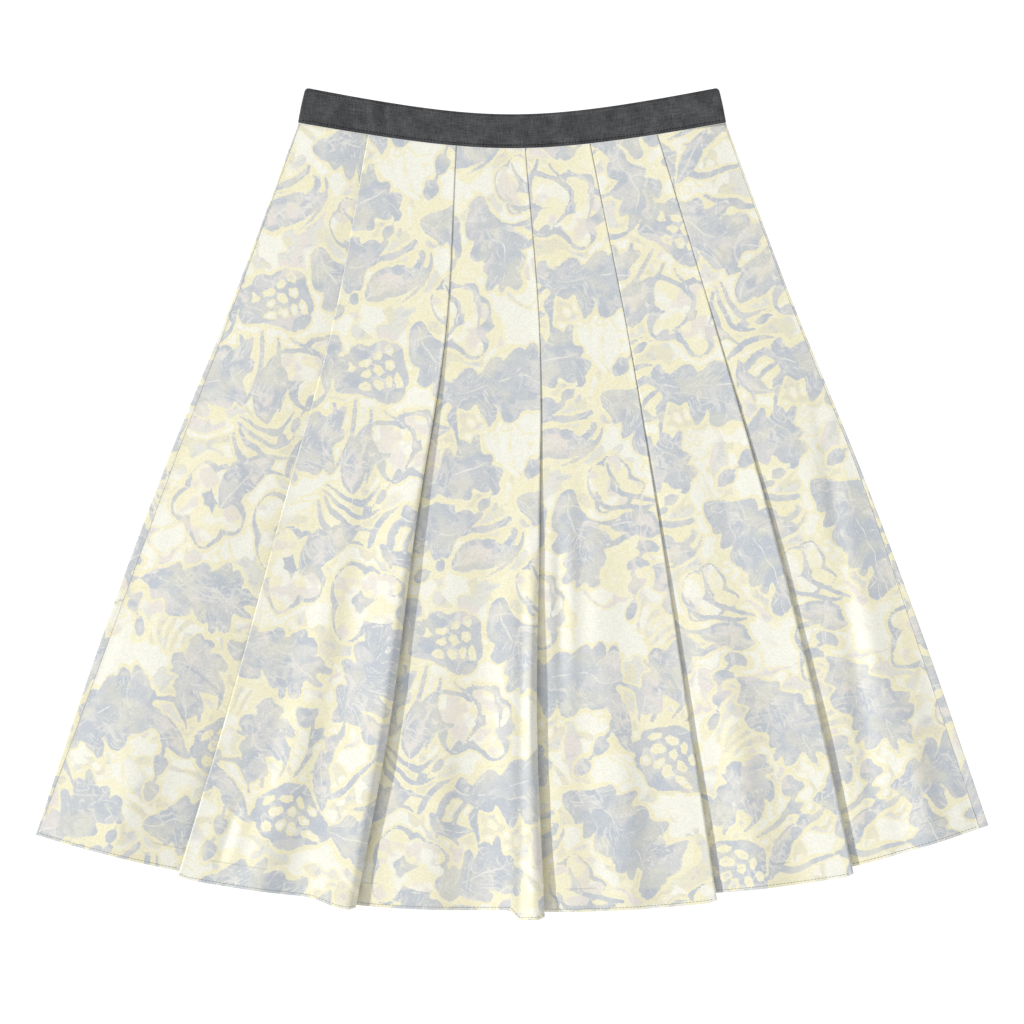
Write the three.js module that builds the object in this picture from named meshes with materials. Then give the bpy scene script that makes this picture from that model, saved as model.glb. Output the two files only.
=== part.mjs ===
// Pleated midi skirt, laid flat on its back.
//
// The front faces up (+Z), the waistband points to +Y, the hem to -Y and +X is to the right
// as the front is looked at. Millimetres. The origin is the middle of the skirt's box, on the
// surface that it lies on.
//
// A maker cuts three pieces: the front, folded into five pleats, the back, and one waistband
// that runs all the way round. Each piece is a wall of cloth swept through sections, from the
// waist seam down to the hem. A section is a line of cloth seen from the hem: x across and
// z up through the layers. Layers that lie on each other keep a small gap.

import * as THREE from "three";

// ---------------------------------------------------------------- driving sizes

const CLOTH = 1.1; // wall of the printed canvas
const LAYER_GAP = 0.35; // clear space between layers that lie on each other
const SEAM_GAP = 0.3; // clear space between pieces at a seam

const SKIRT_LENGTH = 668; // waist seam to hem, on the centre line
const WAIST_SAG = 22.3; // how far the ends of the waist seam lie above its middle
const HEM_SAG = 72.7; // the same for the hem
const BAND_SAG = 24.5; // the same for the waistband's top edge, were it as wide as the seam

const BAND_WALL = 2; // waistband, doubled over an interfacing

const LEVEL_STEP = CLOTH + LAYER_GAP;
const BACK_LEVEL = CLOTH / 2; // middle of the back's wall
const LOW = BACK_LEVEL + LEVEL_STEP; // middle of the lowest front layer
const MID = LOW + LEVEL_STEP; // a pleat's return
const TOP = MID + LEVEL_STEP; // a pleat's outer layer
const TIGHT = LEVEL_STEP / 2; // bend of a pressed fold

const PANEL_CROWN = 3; // how far a panel's middle stands off the back at the hem
const EDGE_ROUNDING = 0.12; // a raised pleat edge is this share of its lift rounder
const STITCHED = 0.2; // share of the length over which the pleats are sewn shut and lie flat

// Half width of the whole skirt at each section, and how far the back rolls over each side
// edge before it meets the front at the side seam.
const SECTIONS = [
  { name: "waist seam", halfWidth: 187.0, rollLeft: 1.4, rollRight: 1.4 },
  { name: "hip", halfWidth: 244.4, rollLeft: 2.5, rollRight: 1.6 },
  { name: "thigh", halfWidth: 307.1, rollLeft: 6.0, rollRight: 2.5 },
  { name: "knee", halfWidth: 364.4, rollLeft: 6.0, rollRight: 6.5 },
  { name: "hem", halfWidth: 417.0, rollLeft: 1.4, rollRight: 7.5 },
];

// Pleats from left to right, each with its free edge's place and lift at every section: x from
// the centre line, and how far the edge stands up off the pressed layers. faces is the side
// that the free edge looks to, and underlay is how deep the cloth is folded in.
const PLEATS = [
  {
    name: "box pleat, left edge", faces: -1, underlay: { waist: 26, hem: 40 },
    edge: { waist: -127.4, hip: -158.4, thigh: -201.3, knee: -244.6, hem: -289.1 },
    lift: { waist: 0, hip: 0, thigh: 1, knee: 2, hem: 2 },
  },
  {
    name: "box pleat, right edge", faces: 1, underlay: { waist: 26, hem: 46 },
    edge: { waist: -50.9, hip: -59.3, thigh: -84.5, knee: -113.8, hem: -139.4 },
    lift: { waist: 0, hip: 2.5, thigh: 9, knee: 11, hem: 8 },
  },
  {
    name: "centre pleat", faces: 1, underlay: { waist: 24, hem: 46 },
    edge: { waist: 9.5, hip: 23.2, thigh: 23.5, knee: 21.5, hem: 26.0 },
    lift: { waist: 0, hip: 0.3, thigh: 3.5, knee: 10, hem: 10 },
  },
  {
    name: "inner right pleat", faces: 1, underlay: { waist: 24, hem: 38 },
    edge: { waist: 67.8, hip: 100.8, thigh: 128.8, knee: 154.4, hem: 176.7 },
    lift: { waist: 0, hip: 0, thigh: 1.5, knee: 2.5, hem: 3 },
  },
  {
    name: "outer right pleat", faces: 1, underlay: { waist: 24, hem: 38 },
    edge: { waist: 127.7, hip: 174.9, thigh: 222.0, knee: 262.4, hem: 297.0 },
    lift: { waist: 0, hip: 0.3, thigh: 2.5, knee: 3.5, hem: 3.5 },
  },
];
const SETTLE = { rise: 1.3, width: 8 }; // a panel comes up by rise beside an edge that covers it

// Panels between the pleats. leftDrop and rightDrop are how far the hem hangs below its arc at
// the panel's two edges. A panel with a roll curls up beside its right edge, over rollWidth,
// and its hem hangs lower there by rollDrop.
const PANELS = [
  { name: "side panel, left", leftDrop: 2.9, rightDrop: 0.7, rollWidth: 0, rollDrop: 0 },
  { name: "box panel", leftDrop: 4.6, rightDrop: 2.6, rollWidth: 34, rollDrop: 3.9 },
  { name: "centre left panel", leftDrop: 3.3, rightDrop: -0.9, rollWidth: 34, rollDrop: 8.4 },
  { name: "centre right panel", leftDrop: 0.8, rightDrop: 4.2, rollWidth: 0, rollDrop: 0 },
  { name: "inner right panel", leftDrop: -2.7, rightDrop: 4.7, rollWidth: 0, rollDrop: 0 },
  { name: "side panel, right", leftDrop: -2.0, rightDrop: -2.9, rollWidth: 0, rollDrop: 0 },
];
const ROLL_RISE = 0.6; // share of a roll's width over which its hem comes down
const BACK_HEM_RISE = 4; // the back's hem ends this far above the front's

// Soft folds in the panels: ridges stand up and troughs lie down by height at the hem. across
// is the place in the panel's open part, as a share, and start is the share of the length
// where the fold begins.
const SOFT_FOLDS = [
  { panel: 0, across: 0.55, width: 26, start: 0.45, height: 2.5 },
  { panel: 1, across: 0.35, width: 20, start: 0.5, height: 2.0 },
  { panel: 2, across: 0.75, width: 12, start: 0.5, height: -2.0 },
  { panel: 3, across: 0.38, width: 16, start: 0.3, height: -2.5 },
  { panel: 3, across: 0.75, width: 18, start: 0.4, height: 2.5 },
  { panel: 4, across: 0.45, width: 18, start: 0.5, height: 2.0 },
  { panel: 5, across: 0.4, width: 16, start: 0.4, height: -2.5 },
  { panel: 5, across: 0.7, width: 20, start: 0.4, height: 3.0 },
];

// Waistband sections, from the waist seam up to the top edge, which is soft and rounded.
const BAND_SECTIONS = [
  { up: SEAM_GAP, halfWidth: 186.9, wall: 1.5 },
  { up: 2, halfWidth: 186.6, wall: BAND_WALL },
  { up: 15, halfWidth: 184.0, wall: BAND_WALL },
  { up: 28, halfWidth: 181.2, wall: BAND_WALL },
  { up: 30, halfWidth: 179.4, wall: 1.5 },
];
const BAND_LOW = 1; // middle of the band's back wall
const BAND_HIGH = 4.4; // middle of its front wall

// How finely the walls are cut.
const ROWS = 16; // waist seam to hem
const STEPS = { open: 7, covered: 3, bend: 4, back: 22, band: 22 };

// ---------------------------------------------------------------- curves

/** A smooth step from 0 to 1, level at both ends. */
function ease(share) {
  const s = THREE.MathUtils.clamp(share, 0, 1);
  return s * s * (3 - 2 * s);
}

/** A smooth curve through a row's equally spaced values; share runs from 0 to 1 along it. */
function along(row, share) {
  const values = Object.values(row);
  const spans = values.length - 1;
  const place = THREE.MathUtils.clamp(share, 0, 1) * spans;
  const i = Math.min(Math.floor(place), spans - 1);
  const s = place - i;
  const before = values[i - 1] ?? 2 * values[i] - values[i + 1];
  const after = values[i + 2] ?? 2 * values[i + 1] - values[i];
  const slopeIn = (values[i + 1] - before) / 2;
  const slopeOut = (after - values[i]) / 2;
  const rise = values[i + 1] - values[i];
  const bend = 3 * rise - 2 * slopeIn - slopeOut;
  const twist = slopeIn + slopeOut - 2 * rise;
  return values[i] + s * (slopeIn + s * (bend + s * twist));
}

/** Numbers from a to b in equal steps, without a itself. */
function stepsTo(a, b, count) {
  return Array.from({ length: count }, (_, i) => a + ((b - a) * (i + 1)) / count);
}

// ---------------------------------------------------------------- one section of the skirt

/** Everything that the sections share at one place down the skirt, 0 at the waist, 1 at the hem. */
function sectionSizes(down) {
  const column = (name) => along(SECTIONS.map((section) => section[name]), down);
  const halfWidth = column("halfWidth");
  return {
    down,
    halfWidth,
    seamLeft: -halfWidth + column("rollLeft"),
    seamRight: halfWidth - column("rollRight"),
    sag: THREE.MathUtils.lerp(WAIST_SAG, HEM_SAG, down),
    open: ease((down - STITCHED) / (1 - STITCHED)),
    pleats: PLEATS.map((pleat) => ({
      faces: pleat.faces,
      edge: along(pleat.edge, down),
      underlay: along(pleat.underlay, down),
      lift: Math.max(along(pleat.lift, down), 0),
    })),
  };
}

/** Where x lies on a section's arc, whose ends are higher than its middle; drop hangs lower. */
function arcY(section, x, drop) {
  const arc = section.sag * (x / section.halfWidth) ** 2;
  return arc - SKIRT_LENGTH * section.down - drop * section.down ** 3;
}

/** The open part of panel k, between what its two pleats cover, and its level at both ends. */
function openPart(section, k) {
  const left = section.pleats[k - 1];
  const right = section.pleats[k];
  const leftIsTop = left !== undefined && left.faces < 0;
  const rightIsTop = right !== undefined && right.faces > 0;
  return {
    from: leftIsTop ? left.edge + left.underlay : (left?.edge ?? section.seamLeft),
    to: rightIsTop ? right.edge - right.underlay : (right?.edge ?? section.seamRight),
    fromLevel: leftIsTop ? TOP : LOW,
    toLevel: rightIsTop ? TOP : LOW,
  };
}

/** How far a pleat's outer layer is lifted at x: nothing at the hidden fold, all at the edge. */
function liftAt(pleat, x) {
  const inward = (pleat.edge - x) * pleat.faces;
  return pleat.lift * ease(1 - inward / (1.4 * pleat.underlay));
}

/** How far a low panel has come up, at some way in from an edge that covers it. */
function settle(inward) {
  return SETTLE.rise * ease(inward / SETTLE.width);
}

/** Height of panel k's wall at x: it climbs between its levels, crowned, with its soft folds. */
function panelHeight(section, k, x) {
  const open = openPart(section, k);
  const share = THREE.MathUtils.clamp((x - open.from) / (open.to - open.from), 0, 1);
  const level = THREE.MathUtils.lerp(open.fromLevel, open.toLevel, ease(share));
  const lowness = (TOP - level) / (TOP - LOW);
  const fromCover = open.fromLevel === LOW ? x - open.from : Infinity;
  const toCover = open.toLevel === LOW ? open.to - x : Infinity;
  let z = level + lowness * settle(Math.min(fromCover, toCover));
  z += PANEL_CROWN * section.open * Math.sin(Math.PI * share) ** 2;
  for (const fold of SOFT_FOLDS.filter((row) => row.panel === k)) {
    const middle = THREE.MathUtils.lerp(open.from, open.to, fold.across);
    const grown = ease((section.down - fold.start) / (1 - fold.start));
    const edgeFade = Math.sin(Math.PI * share) ** 2;
    z += fold.height * grown * edgeFade * Math.exp(-(((x - middle) / fold.width) ** 2));
  }
  const left = section.pleats[k - 1];
  const right = section.pleats[k];
  if (left?.faces < 0) z += liftAt(left, x);
  if (right?.faces > 0) z += liftAt(right, x);
  return z;
}

/** How far panel k's hem hangs below its arc at x. */
function panelDrop(section, k, x) {
  const panel = PANELS[k];
  const from = section.pleats[k - 1]?.edge ?? section.seamLeft;
  const to = section.pleats[k]?.edge ?? section.seamRight;
  const share = THREE.MathUtils.clamp((x - from) / (to - from), 0, 1);
  const rollStart = to - panel.rollWidth;
  const roll = panel.rollWidth > 0 ? ease((x - rollStart) / (ROLL_RISE * panel.rollWidth)) : 0;
  return THREE.MathUtils.lerp(panel.leftDrop, panel.rightDrop, share) + panel.rollDrop * roll;
}

/** Points of a round bend between two layers, from angle to angle in quarter turns. */
function bend(centreX, centreZ, radius, fromQuarter, toQuarter, drop) {
  return stepsTo(fromQuarter, toQuarter, STEPS.bend).map((quarter) => {
    const angle = (quarter * Math.PI) / 2;
    return {
      x: centreX + radius * Math.cos(angle),
      z: centreZ + radius * Math.sin(angle),
      drop,
    };
  });
}

/** Bend of a pleat's free edge, and its middle: the more it is lifted, the rounder it is. */
function edgeBend(pleat) {
  const radius = TIGHT + EDGE_ROUNDING * pleat.lift;
  const x = pleat.edge - pleat.faces * radius;
  return { radius, x, z: TOP + pleat.lift - radius };
}

/** A pleat's return, from one x to another, between the hidden fold and the free edge. */
function returnLayer(edge, hiddenX, fromX, toX, fromDrop, toDrop) {
  return stepsTo(0, 1, STEPS.covered).map((share) => {
    const x = THREE.MathUtils.lerp(fromX, toX, share);
    const nearEdge = ease((x - hiddenX) / (edge.x - hiddenX));
    const z = THREE.MathUtils.lerp(MID, edge.z - edge.radius, nearEdge);
    return { x, z, drop: THREE.MathUtils.lerp(fromDrop, toDrop, share) };
  });
}

/** The front's line of cloth at one section, from the left side seam to the right one. */
function frontLine(section) {
  const start = section.seamLeft + SEAM_GAP / 2;
  const line = [{ x: start, z: LOW, drop: panelDrop(section, 0, start) }];
  let x = start;

  const runPanel = (k, to, count) => {
    for (const next of stepsTo(x, to, count)) {
      line.push({ x: next, z: panelHeight(section, k, next), drop: panelDrop(section, k, next) });
    }
    x = to;
  };

  section.pleats.forEach((pleat, k) => {
    const edge = edgeBend(pleat);
    const hiddenX = pleat.edge - pleat.faces * (pleat.underlay - TIGHT);
    const open = openPart(section, k);
    const own = panelDrop(section, k, pleat.edge);
    const next = panelDrop(section, k + 1, pleat.edge);
    if (pleat.faces > 0) {
      runPanel(k, open.to, STEPS.open);
      runPanel(k, edge.x, STEPS.covered);
      line.push(...bend(edge.x, edge.z, edge.radius, 1, -1, own));
      line.push(...returnLayer(edge, hiddenX, edge.x, hiddenX, own, next));
      line.push(...bend(hiddenX, (MID + LOW) / 2, TIGHT, 1, 3, next));
      line.push({ x: pleat.edge, z: LOW, drop: next });
      x = pleat.edge;
    } else {
      runPanel(k, open.to, STEPS.open);
      line.push({ x: hiddenX, z: LOW, drop: own });
      line.push(...bend(hiddenX, (MID + LOW) / 2, TIGHT, -1, 1, own));
      line.push(...returnLayer(edge, hiddenX, hiddenX, edge.x, own, next));
      line.push(...bend(edge.x, edge.z, edge.radius, 3, 1, next));
      x = edge.x;
      runPanel(k + 1, openPart(section, k + 1).from, STEPS.covered);
    }
  });
  runPanel(PANELS.length - 1, section.seamRight - SEAM_GAP / 2, STEPS.open + 1);
  return line;
}

/** The back's line: it starts on top of the left side edge and ends on top of the right one. */
function backLine(section) {
  const { halfWidth, seamLeft, seamRight } = section;
  const turn = halfWidth - TIGHT;
  const middle = (LOW + BACK_LEVEL) / 2;
  const leftDrop = PANELS[0].leftDrop;
  const rightDrop = PANELS[PANELS.length - 1].rightDrop;
  const hemDrop = (x) => {
    const outward = ease((Math.abs(x) / halfWidth - 0.9) / 0.1);
    return THREE.MathUtils.lerp(-BACK_HEM_RISE, x < 0 ? leftDrop : rightDrop, outward);
  };
  return [
    { x: seamLeft - SEAM_GAP / 2, z: LOW, drop: leftDrop },
    { x: -turn, z: LOW, drop: leftDrop },
    ...bend(-turn, middle, TIGHT, 1, 3, leftDrop),
    ...stepsTo(-turn, turn, STEPS.back).map((x) => ({ x, z: BACK_LEVEL, drop: hemDrop(x) })),
    ...bend(turn, middle, TIGHT, -1, 1, rightDrop),
    { x: seamRight + SEAM_GAP / 2, z: LOW, drop: rightDrop },
  ];
}

/** A waistband section as a section of the skirt above the waist seam. */
function bandSection({ up }) {
  const height = BAND_SECTIONS[BAND_SECTIONS.length - 1].up;
  return {
    down: -up / SKIRT_LENGTH,
    halfWidth: SECTIONS[0].halfWidth,
    sag: THREE.MathUtils.lerp(WAIST_SAG, BAND_SAG, up / height),
  };
}

/** The waistband's closed line at one height: its front wall, right fold, back wall, left fold. */
function bandLine({ halfWidth }) {
  const radius = (BAND_HIGH - BAND_LOW) / 2;
  const turn = halfWidth - radius;
  const middle = (BAND_HIGH + BAND_LOW) / 2;
  return [
    ...stepsTo(-turn, turn, STEPS.band).map((x) => ({ x, z: BAND_HIGH, drop: 0 })),
    ...bend(turn, middle, radius, 1, -1, 0),
    ...stepsTo(turn, -turn, STEPS.band).map((x) => ({ x, z: BAND_LOW, drop: 0 })),
    ...bend(-turn, middle, radius, 3, 1, 0),
  ];
}

// ---------------------------------------------------------------- walls

/** The two faces of a section's line of cloth: each point moved half the wall out and in. */
function thicken(section, line, wall, closed) {
  const count = line.length;
  const unit = (a, b) => new THREE.Vector2(b.x - a.x, b.z - a.z).normalize();
  const place = (x, z, drop) => [x, arcY(section, x, drop), z];
  return line.map((point, i) => {
    const before = closed || i > 0 ? line[(i + count - 1) % count] : point;
    const after = closed || i < count - 1 ? line[(i + 1) % count] : point;
    const into = before === point ? unit(point, after) : unit(before, point);
    const onward = after === point ? into : unit(point, after);
    const heading = into.clone().add(onward).normalize();
    const reach = wall / 2 / Math.max(heading.dot(into), 0.5);
    const offX = -heading.y * reach;
    const offZ = heading.x * reach;
    return {
      face: place(point.x + offX, point.z + offZ, point.drop),
      lining: place(point.x - offX, point.z - offZ, point.drop),
    };
  });
}

/** A closed wall through rows of thickened points; closed rows make a loop of cloth. */
function wallGeometry(rows, closed) {
  const columns = rows[0].length;
  const positions = [];
  for (const side of ["face", "lining"]) {
    for (const row of rows) positions.push(...row.flatMap((point) => point[side]));
  }
  const sideSize = rows.length * columns;
  const at = (side, row, column) => side * sideSize + row * columns + (column % columns);
  const index = [];
  const quad = (a, b, c, d) => index.push(a, b, c, a, c, d);

  const spans = closed ? columns : columns - 1;
  const last = rows.length - 1;
  for (let c = 0; c < spans; c += 1) {
    for (let r = 0; r < last; r += 1) {
      quad(at(0, r, c), at(0, r + 1, c), at(0, r + 1, c + 1), at(0, r, c + 1));
      quad(at(1, r, c), at(1, r, c + 1), at(1, r + 1, c + 1), at(1, r + 1, c));
    }
    quad(at(0, 0, c), at(0, 0, c + 1), at(1, 0, c + 1), at(1, 0, c));
    quad(at(0, last, c), at(1, last, c), at(1, last, c + 1), at(0, last, c + 1));
  }
  if (!closed) {
    const end = columns - 1;
    for (let r = 0; r < last; r += 1) {
      quad(at(0, r, 0), at(1, r, 0), at(1, r + 1, 0), at(0, r + 1, 0));
      quad(at(0, r, end), at(0, r + 1, end), at(1, r + 1, end), at(1, r, end));
    }
  }
  const geometry = new THREE.BufferGeometry();
  geometry.setAttribute("position", new THREE.Float32BufferAttribute(positions, 3));
  geometry.setIndex(index);
  geometry.computeVertexNormals();
  return geometry;
}

/** A named piece of cloth. */
function piece(name, geometry, material) {
  const mesh = new THREE.Mesh(geometry, material);
  mesh.name = name;
  return mesh;
}

// ---------------------------------------------------------------- pieces

const canvas = () => new THREE.MeshStandardMaterial({ color: 0xe6e3d2, roughness: 0.9, metalness: 0 });
const chambray = () => new THREE.MeshStandardMaterial({ color: 0x4c4e50, roughness: 0.95, metalness: 0 });

const sections = Array.from({ length: ROWS + 1 }, (_, i) => sectionSizes(i / ROWS));

const front = piece(
  "skirt_front",
  wallGeometry(sections.map((section) => thicken(section, frontLine(section), CLOTH, false)), false),
  canvas(),
);

const back = piece(
  "skirt_back",
  wallGeometry(sections.map((section) => thicken(section, backLine(section), CLOTH, false)), false),
  canvas(),
);

const bandRows = BAND_SECTIONS.toReversed(); // from the top edge down, as the skirt's rows run
const waistband = piece(
  "waistband",
  wallGeometry(bandRows.map((row) => thicken(bandSection(row), bandLine(row), row.wall, true)), true),
  chambray(),
);

const skirt = new THREE.Group();
skirt.name = "pleated_midi_skirt";
skirt.add(front, back, waistband);

// The origin goes to the middle of the skirt's box, on the surface under it.
const box = new THREE.Box3().setFromObject(skirt);
const middle = box.getCenter(new THREE.Vector3());
skirt.position.set(-middle.x, -middle.y, -box.min.z);
skirt.updateMatrixWorld(true);

export default skirt;
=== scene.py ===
"""Pleated midi skirt, laid flat on its back, as a Blender add-on that is run as a script.

The frame's Z is up, the waistband points to +Y and the hem to -Y. The tables below are in
millimetres. x is measured from the skirt's centre line, y from the middle of the waist seam
and z from the surface that the skirt lies on. Meshes are in metres.
"""

from math import pi, radians

import bpy
import numpy as np
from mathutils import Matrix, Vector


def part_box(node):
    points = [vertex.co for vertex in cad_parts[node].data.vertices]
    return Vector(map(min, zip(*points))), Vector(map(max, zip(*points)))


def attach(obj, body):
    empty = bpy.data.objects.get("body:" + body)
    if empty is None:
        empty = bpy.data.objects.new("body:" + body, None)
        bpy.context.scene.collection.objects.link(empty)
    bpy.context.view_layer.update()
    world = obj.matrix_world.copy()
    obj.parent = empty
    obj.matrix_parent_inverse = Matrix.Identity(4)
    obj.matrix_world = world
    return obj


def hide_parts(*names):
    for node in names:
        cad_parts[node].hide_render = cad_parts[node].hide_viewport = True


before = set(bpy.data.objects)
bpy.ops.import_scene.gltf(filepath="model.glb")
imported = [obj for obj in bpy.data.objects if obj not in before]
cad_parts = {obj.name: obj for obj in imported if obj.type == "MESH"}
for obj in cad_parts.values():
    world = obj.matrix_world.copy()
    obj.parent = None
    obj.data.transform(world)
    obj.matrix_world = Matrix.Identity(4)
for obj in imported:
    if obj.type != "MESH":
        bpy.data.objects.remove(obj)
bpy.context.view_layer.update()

bl_info = {
    "name": "Pleated Midi Skirt",
    "version": (1, 0, 0),
    "blender": (4, 5, 0),
    "location": "3D View > Sidebar > Skirt",
    "description": "Makes a pleated midi skirt in a printed canvas, laid flat",
    "category": "Add Mesh",
}

MM = 0.001
SEAM_GAP = 0.3  # clear space between pieces at a seam
WAIST_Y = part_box("waistband")[0].y / MM - SEAM_GAP  # the waist seam's middle, in the frame

# ---------------------------------------------------------------- the skirt's sizes

SKIRT_LENGTH = 668.0  # waist seam to hem, on the centre line
WAIST_SAG = 22.3  # how far the ends of the waist seam lie above its middle
HEM_SAG = 72.7  # the same for the hem
BAND_SAG = 24.5  # the same for the waistband's top edge
ARC_BEND = (1.8, 0.3)  # how tightly the waist's and the hem's arcs bend in their middle
STITCHED = 0.2  # share of the length over which the pleats are sewn shut
PANEL_CROWN = 3.0  # how far a panel's middle stands off the back at the hem
EDGE_ROUNDING = 0.35  # a raised pleat edge is this share of its height rounder
TUCK_WIDTH = 0.9  # a tucked edge comes down over its lift times this
LIFT_REACH = 1.4  # a lift fades out over the pleat's underlay times this
LIFT_SWAY = dict(share=0.3, cell=75, seed=40)  # how unevenly the lifts run down the skirt
LOOSE = 14  # creases and swells grow to their full height over this, beside a cover or a seam

# The whole skirt's half width, and how far the back rolls over each side edge, at five
# equally spaced places from the waist seam to the hem. Pleat edges and lifts use the same.
HALF_WIDTH = (187.0, 244.4, 307.1, 364.4, 417.0)
ROLL_LEFT = (1.4, 2.5, 6.0, 6.0, 1.4)
ROLL_RIGHT = (1.4, 1.6, 2.5, 6.5, 7.5)

# Pleats: faces is the side that the free edge looks to, underlay how deep the cloth is
# folded in at the waist and at the hem, lift how far the panel rises beside its edge, tuck the
# share of that by which the edge itself comes down again, and edge the free edge's x.
PLEATS = (
    dict(
        faces=-1, underlay=(26, 40), lift=(0, 0, 0.2, 0.6, 1.0), tuck=(0, 0, 0, 0, 0),
        edge=(-125.7, -155.8, -199.7, -243.6, -292.0),
    ),
    dict(
        faces=1, underlay=(26, 46), lift=(0, 1.0, 6.8, 11.2, 8.5), tuck=(0, 0, 0.35, 0.75, 0.6),
        edge=(-49.2, -58.6, -84.4, -106.3, -137.0),
    ),
    dict(
        faces=1, underlay=(24, 46), lift=(0, 0.2, 2.2, 9.6, 10.5), tuck=(0, 0, 0.2, 0.55, 0.4),
        edge=(11.2, 24.0, 23.8, 21.6, 28.4),
    ),
    dict(
        faces=1, underlay=(24, 38), lift=(0, 0, 0.4, 1.6, 3), tuck=(0, 0, 0, 0, 0),
        edge=(67.8, 100.5, 128.1, 153.5, 179.2),
    ),
    dict(
        faces=1, underlay=(24, 38), lift=(0, 0.3, 2.2, 3.5, 3.5), tuck=(0, 0, 0, 0, 0),
        edge=(126.8, 174.9, 221.4, 262.7, 298.7),
    ),
)
# A panel comes up beside what covers it: how far, over what width at the waist and at the
# hem, over what width beside an edge that looks to the left, and over what width at a seam.
SETTLE = dict(rise=1.5, width=(1.0, 9), left=14.0, seam=45)

# Panels: how far the hem hangs below its arc at each edge, and over a roll at the right one,
# which comes down over a share of its width.
PANELS = (
    dict(left_drop=5.8, right_drop=0.8, roll_width=0, roll_drop=0),
    dict(left_drop=6.9, right_drop=-1.6, roll_width=46, roll_rise=0.85, roll_drop=8.1),
    dict(left_drop=2.5, right_drop=-2.6, roll_width=31, roll_rise=0.35, roll_drop=9.6),
    dict(left_drop=0.8, right_drop=5.4, roll_width=0, roll_drop=0),
    dict(left_drop=-2.5, right_drop=6.4, roll_width=0, roll_drop=0),
    dict(left_drop=-1.5, right_drop=-2.4, roll_width=0, roll_drop=0),
)
HEM_CORNER = dict(width=7, rise=1.8)  # the hem rises a little to a pleat's free edge
UNDERLAY_RISE = 4.5  # and more to the fold inside it
BACK_HEM_RISE = 4.0  # the back's hem ends this far above the front's
BACK_PANEL = len(PANELS)  # the back's number, after the front's panels
# The back's step at a pressed edge: its height is less than the gap between layers.
BACK_STEP = dict(height=0.1, width=1.5, fade=14)
GORES = ((0, 1), (2, 3), (4, 5))  # panels of each stretch of the front, parted inside pleats

# Soft folds: panel, share across its open part, width, share down where it starts, height.
SOFT_FOLDS = (
    (0, 0.5, 26, 0.45, 1.2),
    (1, 0.35, 20, 0.50, 2.0),
    (2, 0.75, 12, 0.50, -2.0),
    (3, 0.38, 16, 0.30, -2.5),
    (3, 0.75, 18, 0.40, 2.5),
    (4, 0.45, 18, 0.50, 2.0),
    (5, 0.40, 16, 0.40, -2.5),
    (5, 0.70, 20, 0.40, 3.0),
)

# Creases in the panels, each along a line: panel, x and y of its two ends, width and height.
CREASES = (
    (0, (-250, -470), (-292, -590), 9, 0.9),
    (0, (-215, -250), (-246, -380), 11, -0.8),
    (0, (-150, -50), (-176, -118), 8, 0.7),
    (0, (-330, -520), (-352, -640), 12, 1.0),
    (1, (-136, -60), (-148, -84), 5, -0.8),
    (1, (-237, -562), (-260, -634), 5, -1.7),
    (1, (-227, -556), (-250, -636), 7, 0.9),
    (1, (-150, -330), (-168, -470), 12, 0.8),
    (1, (-196, -470), (-214, -560), 10, -0.8),
    (2, (17, -300), (15, -560), 5, 0.8),
    (2, (24, -330), (22, -560), 4.5, -1.8),
    (2, (10, -320), (7, -800), 5.5, -2.2),
    (2, (-4, -350), (-8, -620), 9, 0.7),
    (2, (-52, -520), (-74, -640), 12, 1.0),
    (2, (-40, -200), (-48, -330), 12, -0.6),
    (3, (40, -300), (44, -520), 5, -1.6),
    (3, (50, -280), (54, -520), 5, 0.9),
    (3, (60, -240), (66, -480), 7, -0.8),
    (3, (96, -500), (108, -640), 11, 1.0),
    (4, (138, -330), (152, -460), 9, -0.8),
    (4, (190, -470), (206, -610), 11, 1.0),
    (5, (268, -190), (292, -400), 8, -2.2),
    (5, (288, -330), (322, -640), 9, -2.6),
    (5, (303, -360), (338, -620), 10, 1.2),
    (5, (262, -150), (286, -240), 8, 0.8),
    (5, (345, -500), (372, -620), 10, 1.0),
)
RIPPLE = dict(cell=52.0, height=1.6)  # low uneven swells in the loose cloth
LIP = dict(width=3.5, height=0.3)  # a pressed edge stands up a little, over the layers turned in
HEM_TURN = dict(depth=20.0, rise=0.35, slope=1.6)  # hem allowance turned up inside
HEM_GROOVE = dict(depth=0.22, width=0.8)  # the dent of the hem's stitching
HEM_EDGE = dict(width=0.8, thin=0.45)  # the cloth's own edge, thinner than the cloth
HEM_LINE = 2.4  # stitching above the hem's edge
HEM_ROWS = (0.0, 0.5, 1.2, 2.4, 4.0)  # rows of the mesh near the hem, above it
HEM_STITCH = dict(pitch=3.1, share=0.9, wander=0.06, radius=0.2)

# Waistband: height above the waist seam and half width, from the seam to the top edge.
BAND_UP = (0.3, 15.0, 30.0)
BAND_TALL = BAND_UP[-1] - BAND_UP[0]
BAND_HALF = (186.9, 184.0, 180.4)
BAND_CORNER = 3.0  # rounding of its top corners
BAND_LOW, BAND_HIGH, BAND_WALL = 0.9, 3.3, 1.2
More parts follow.
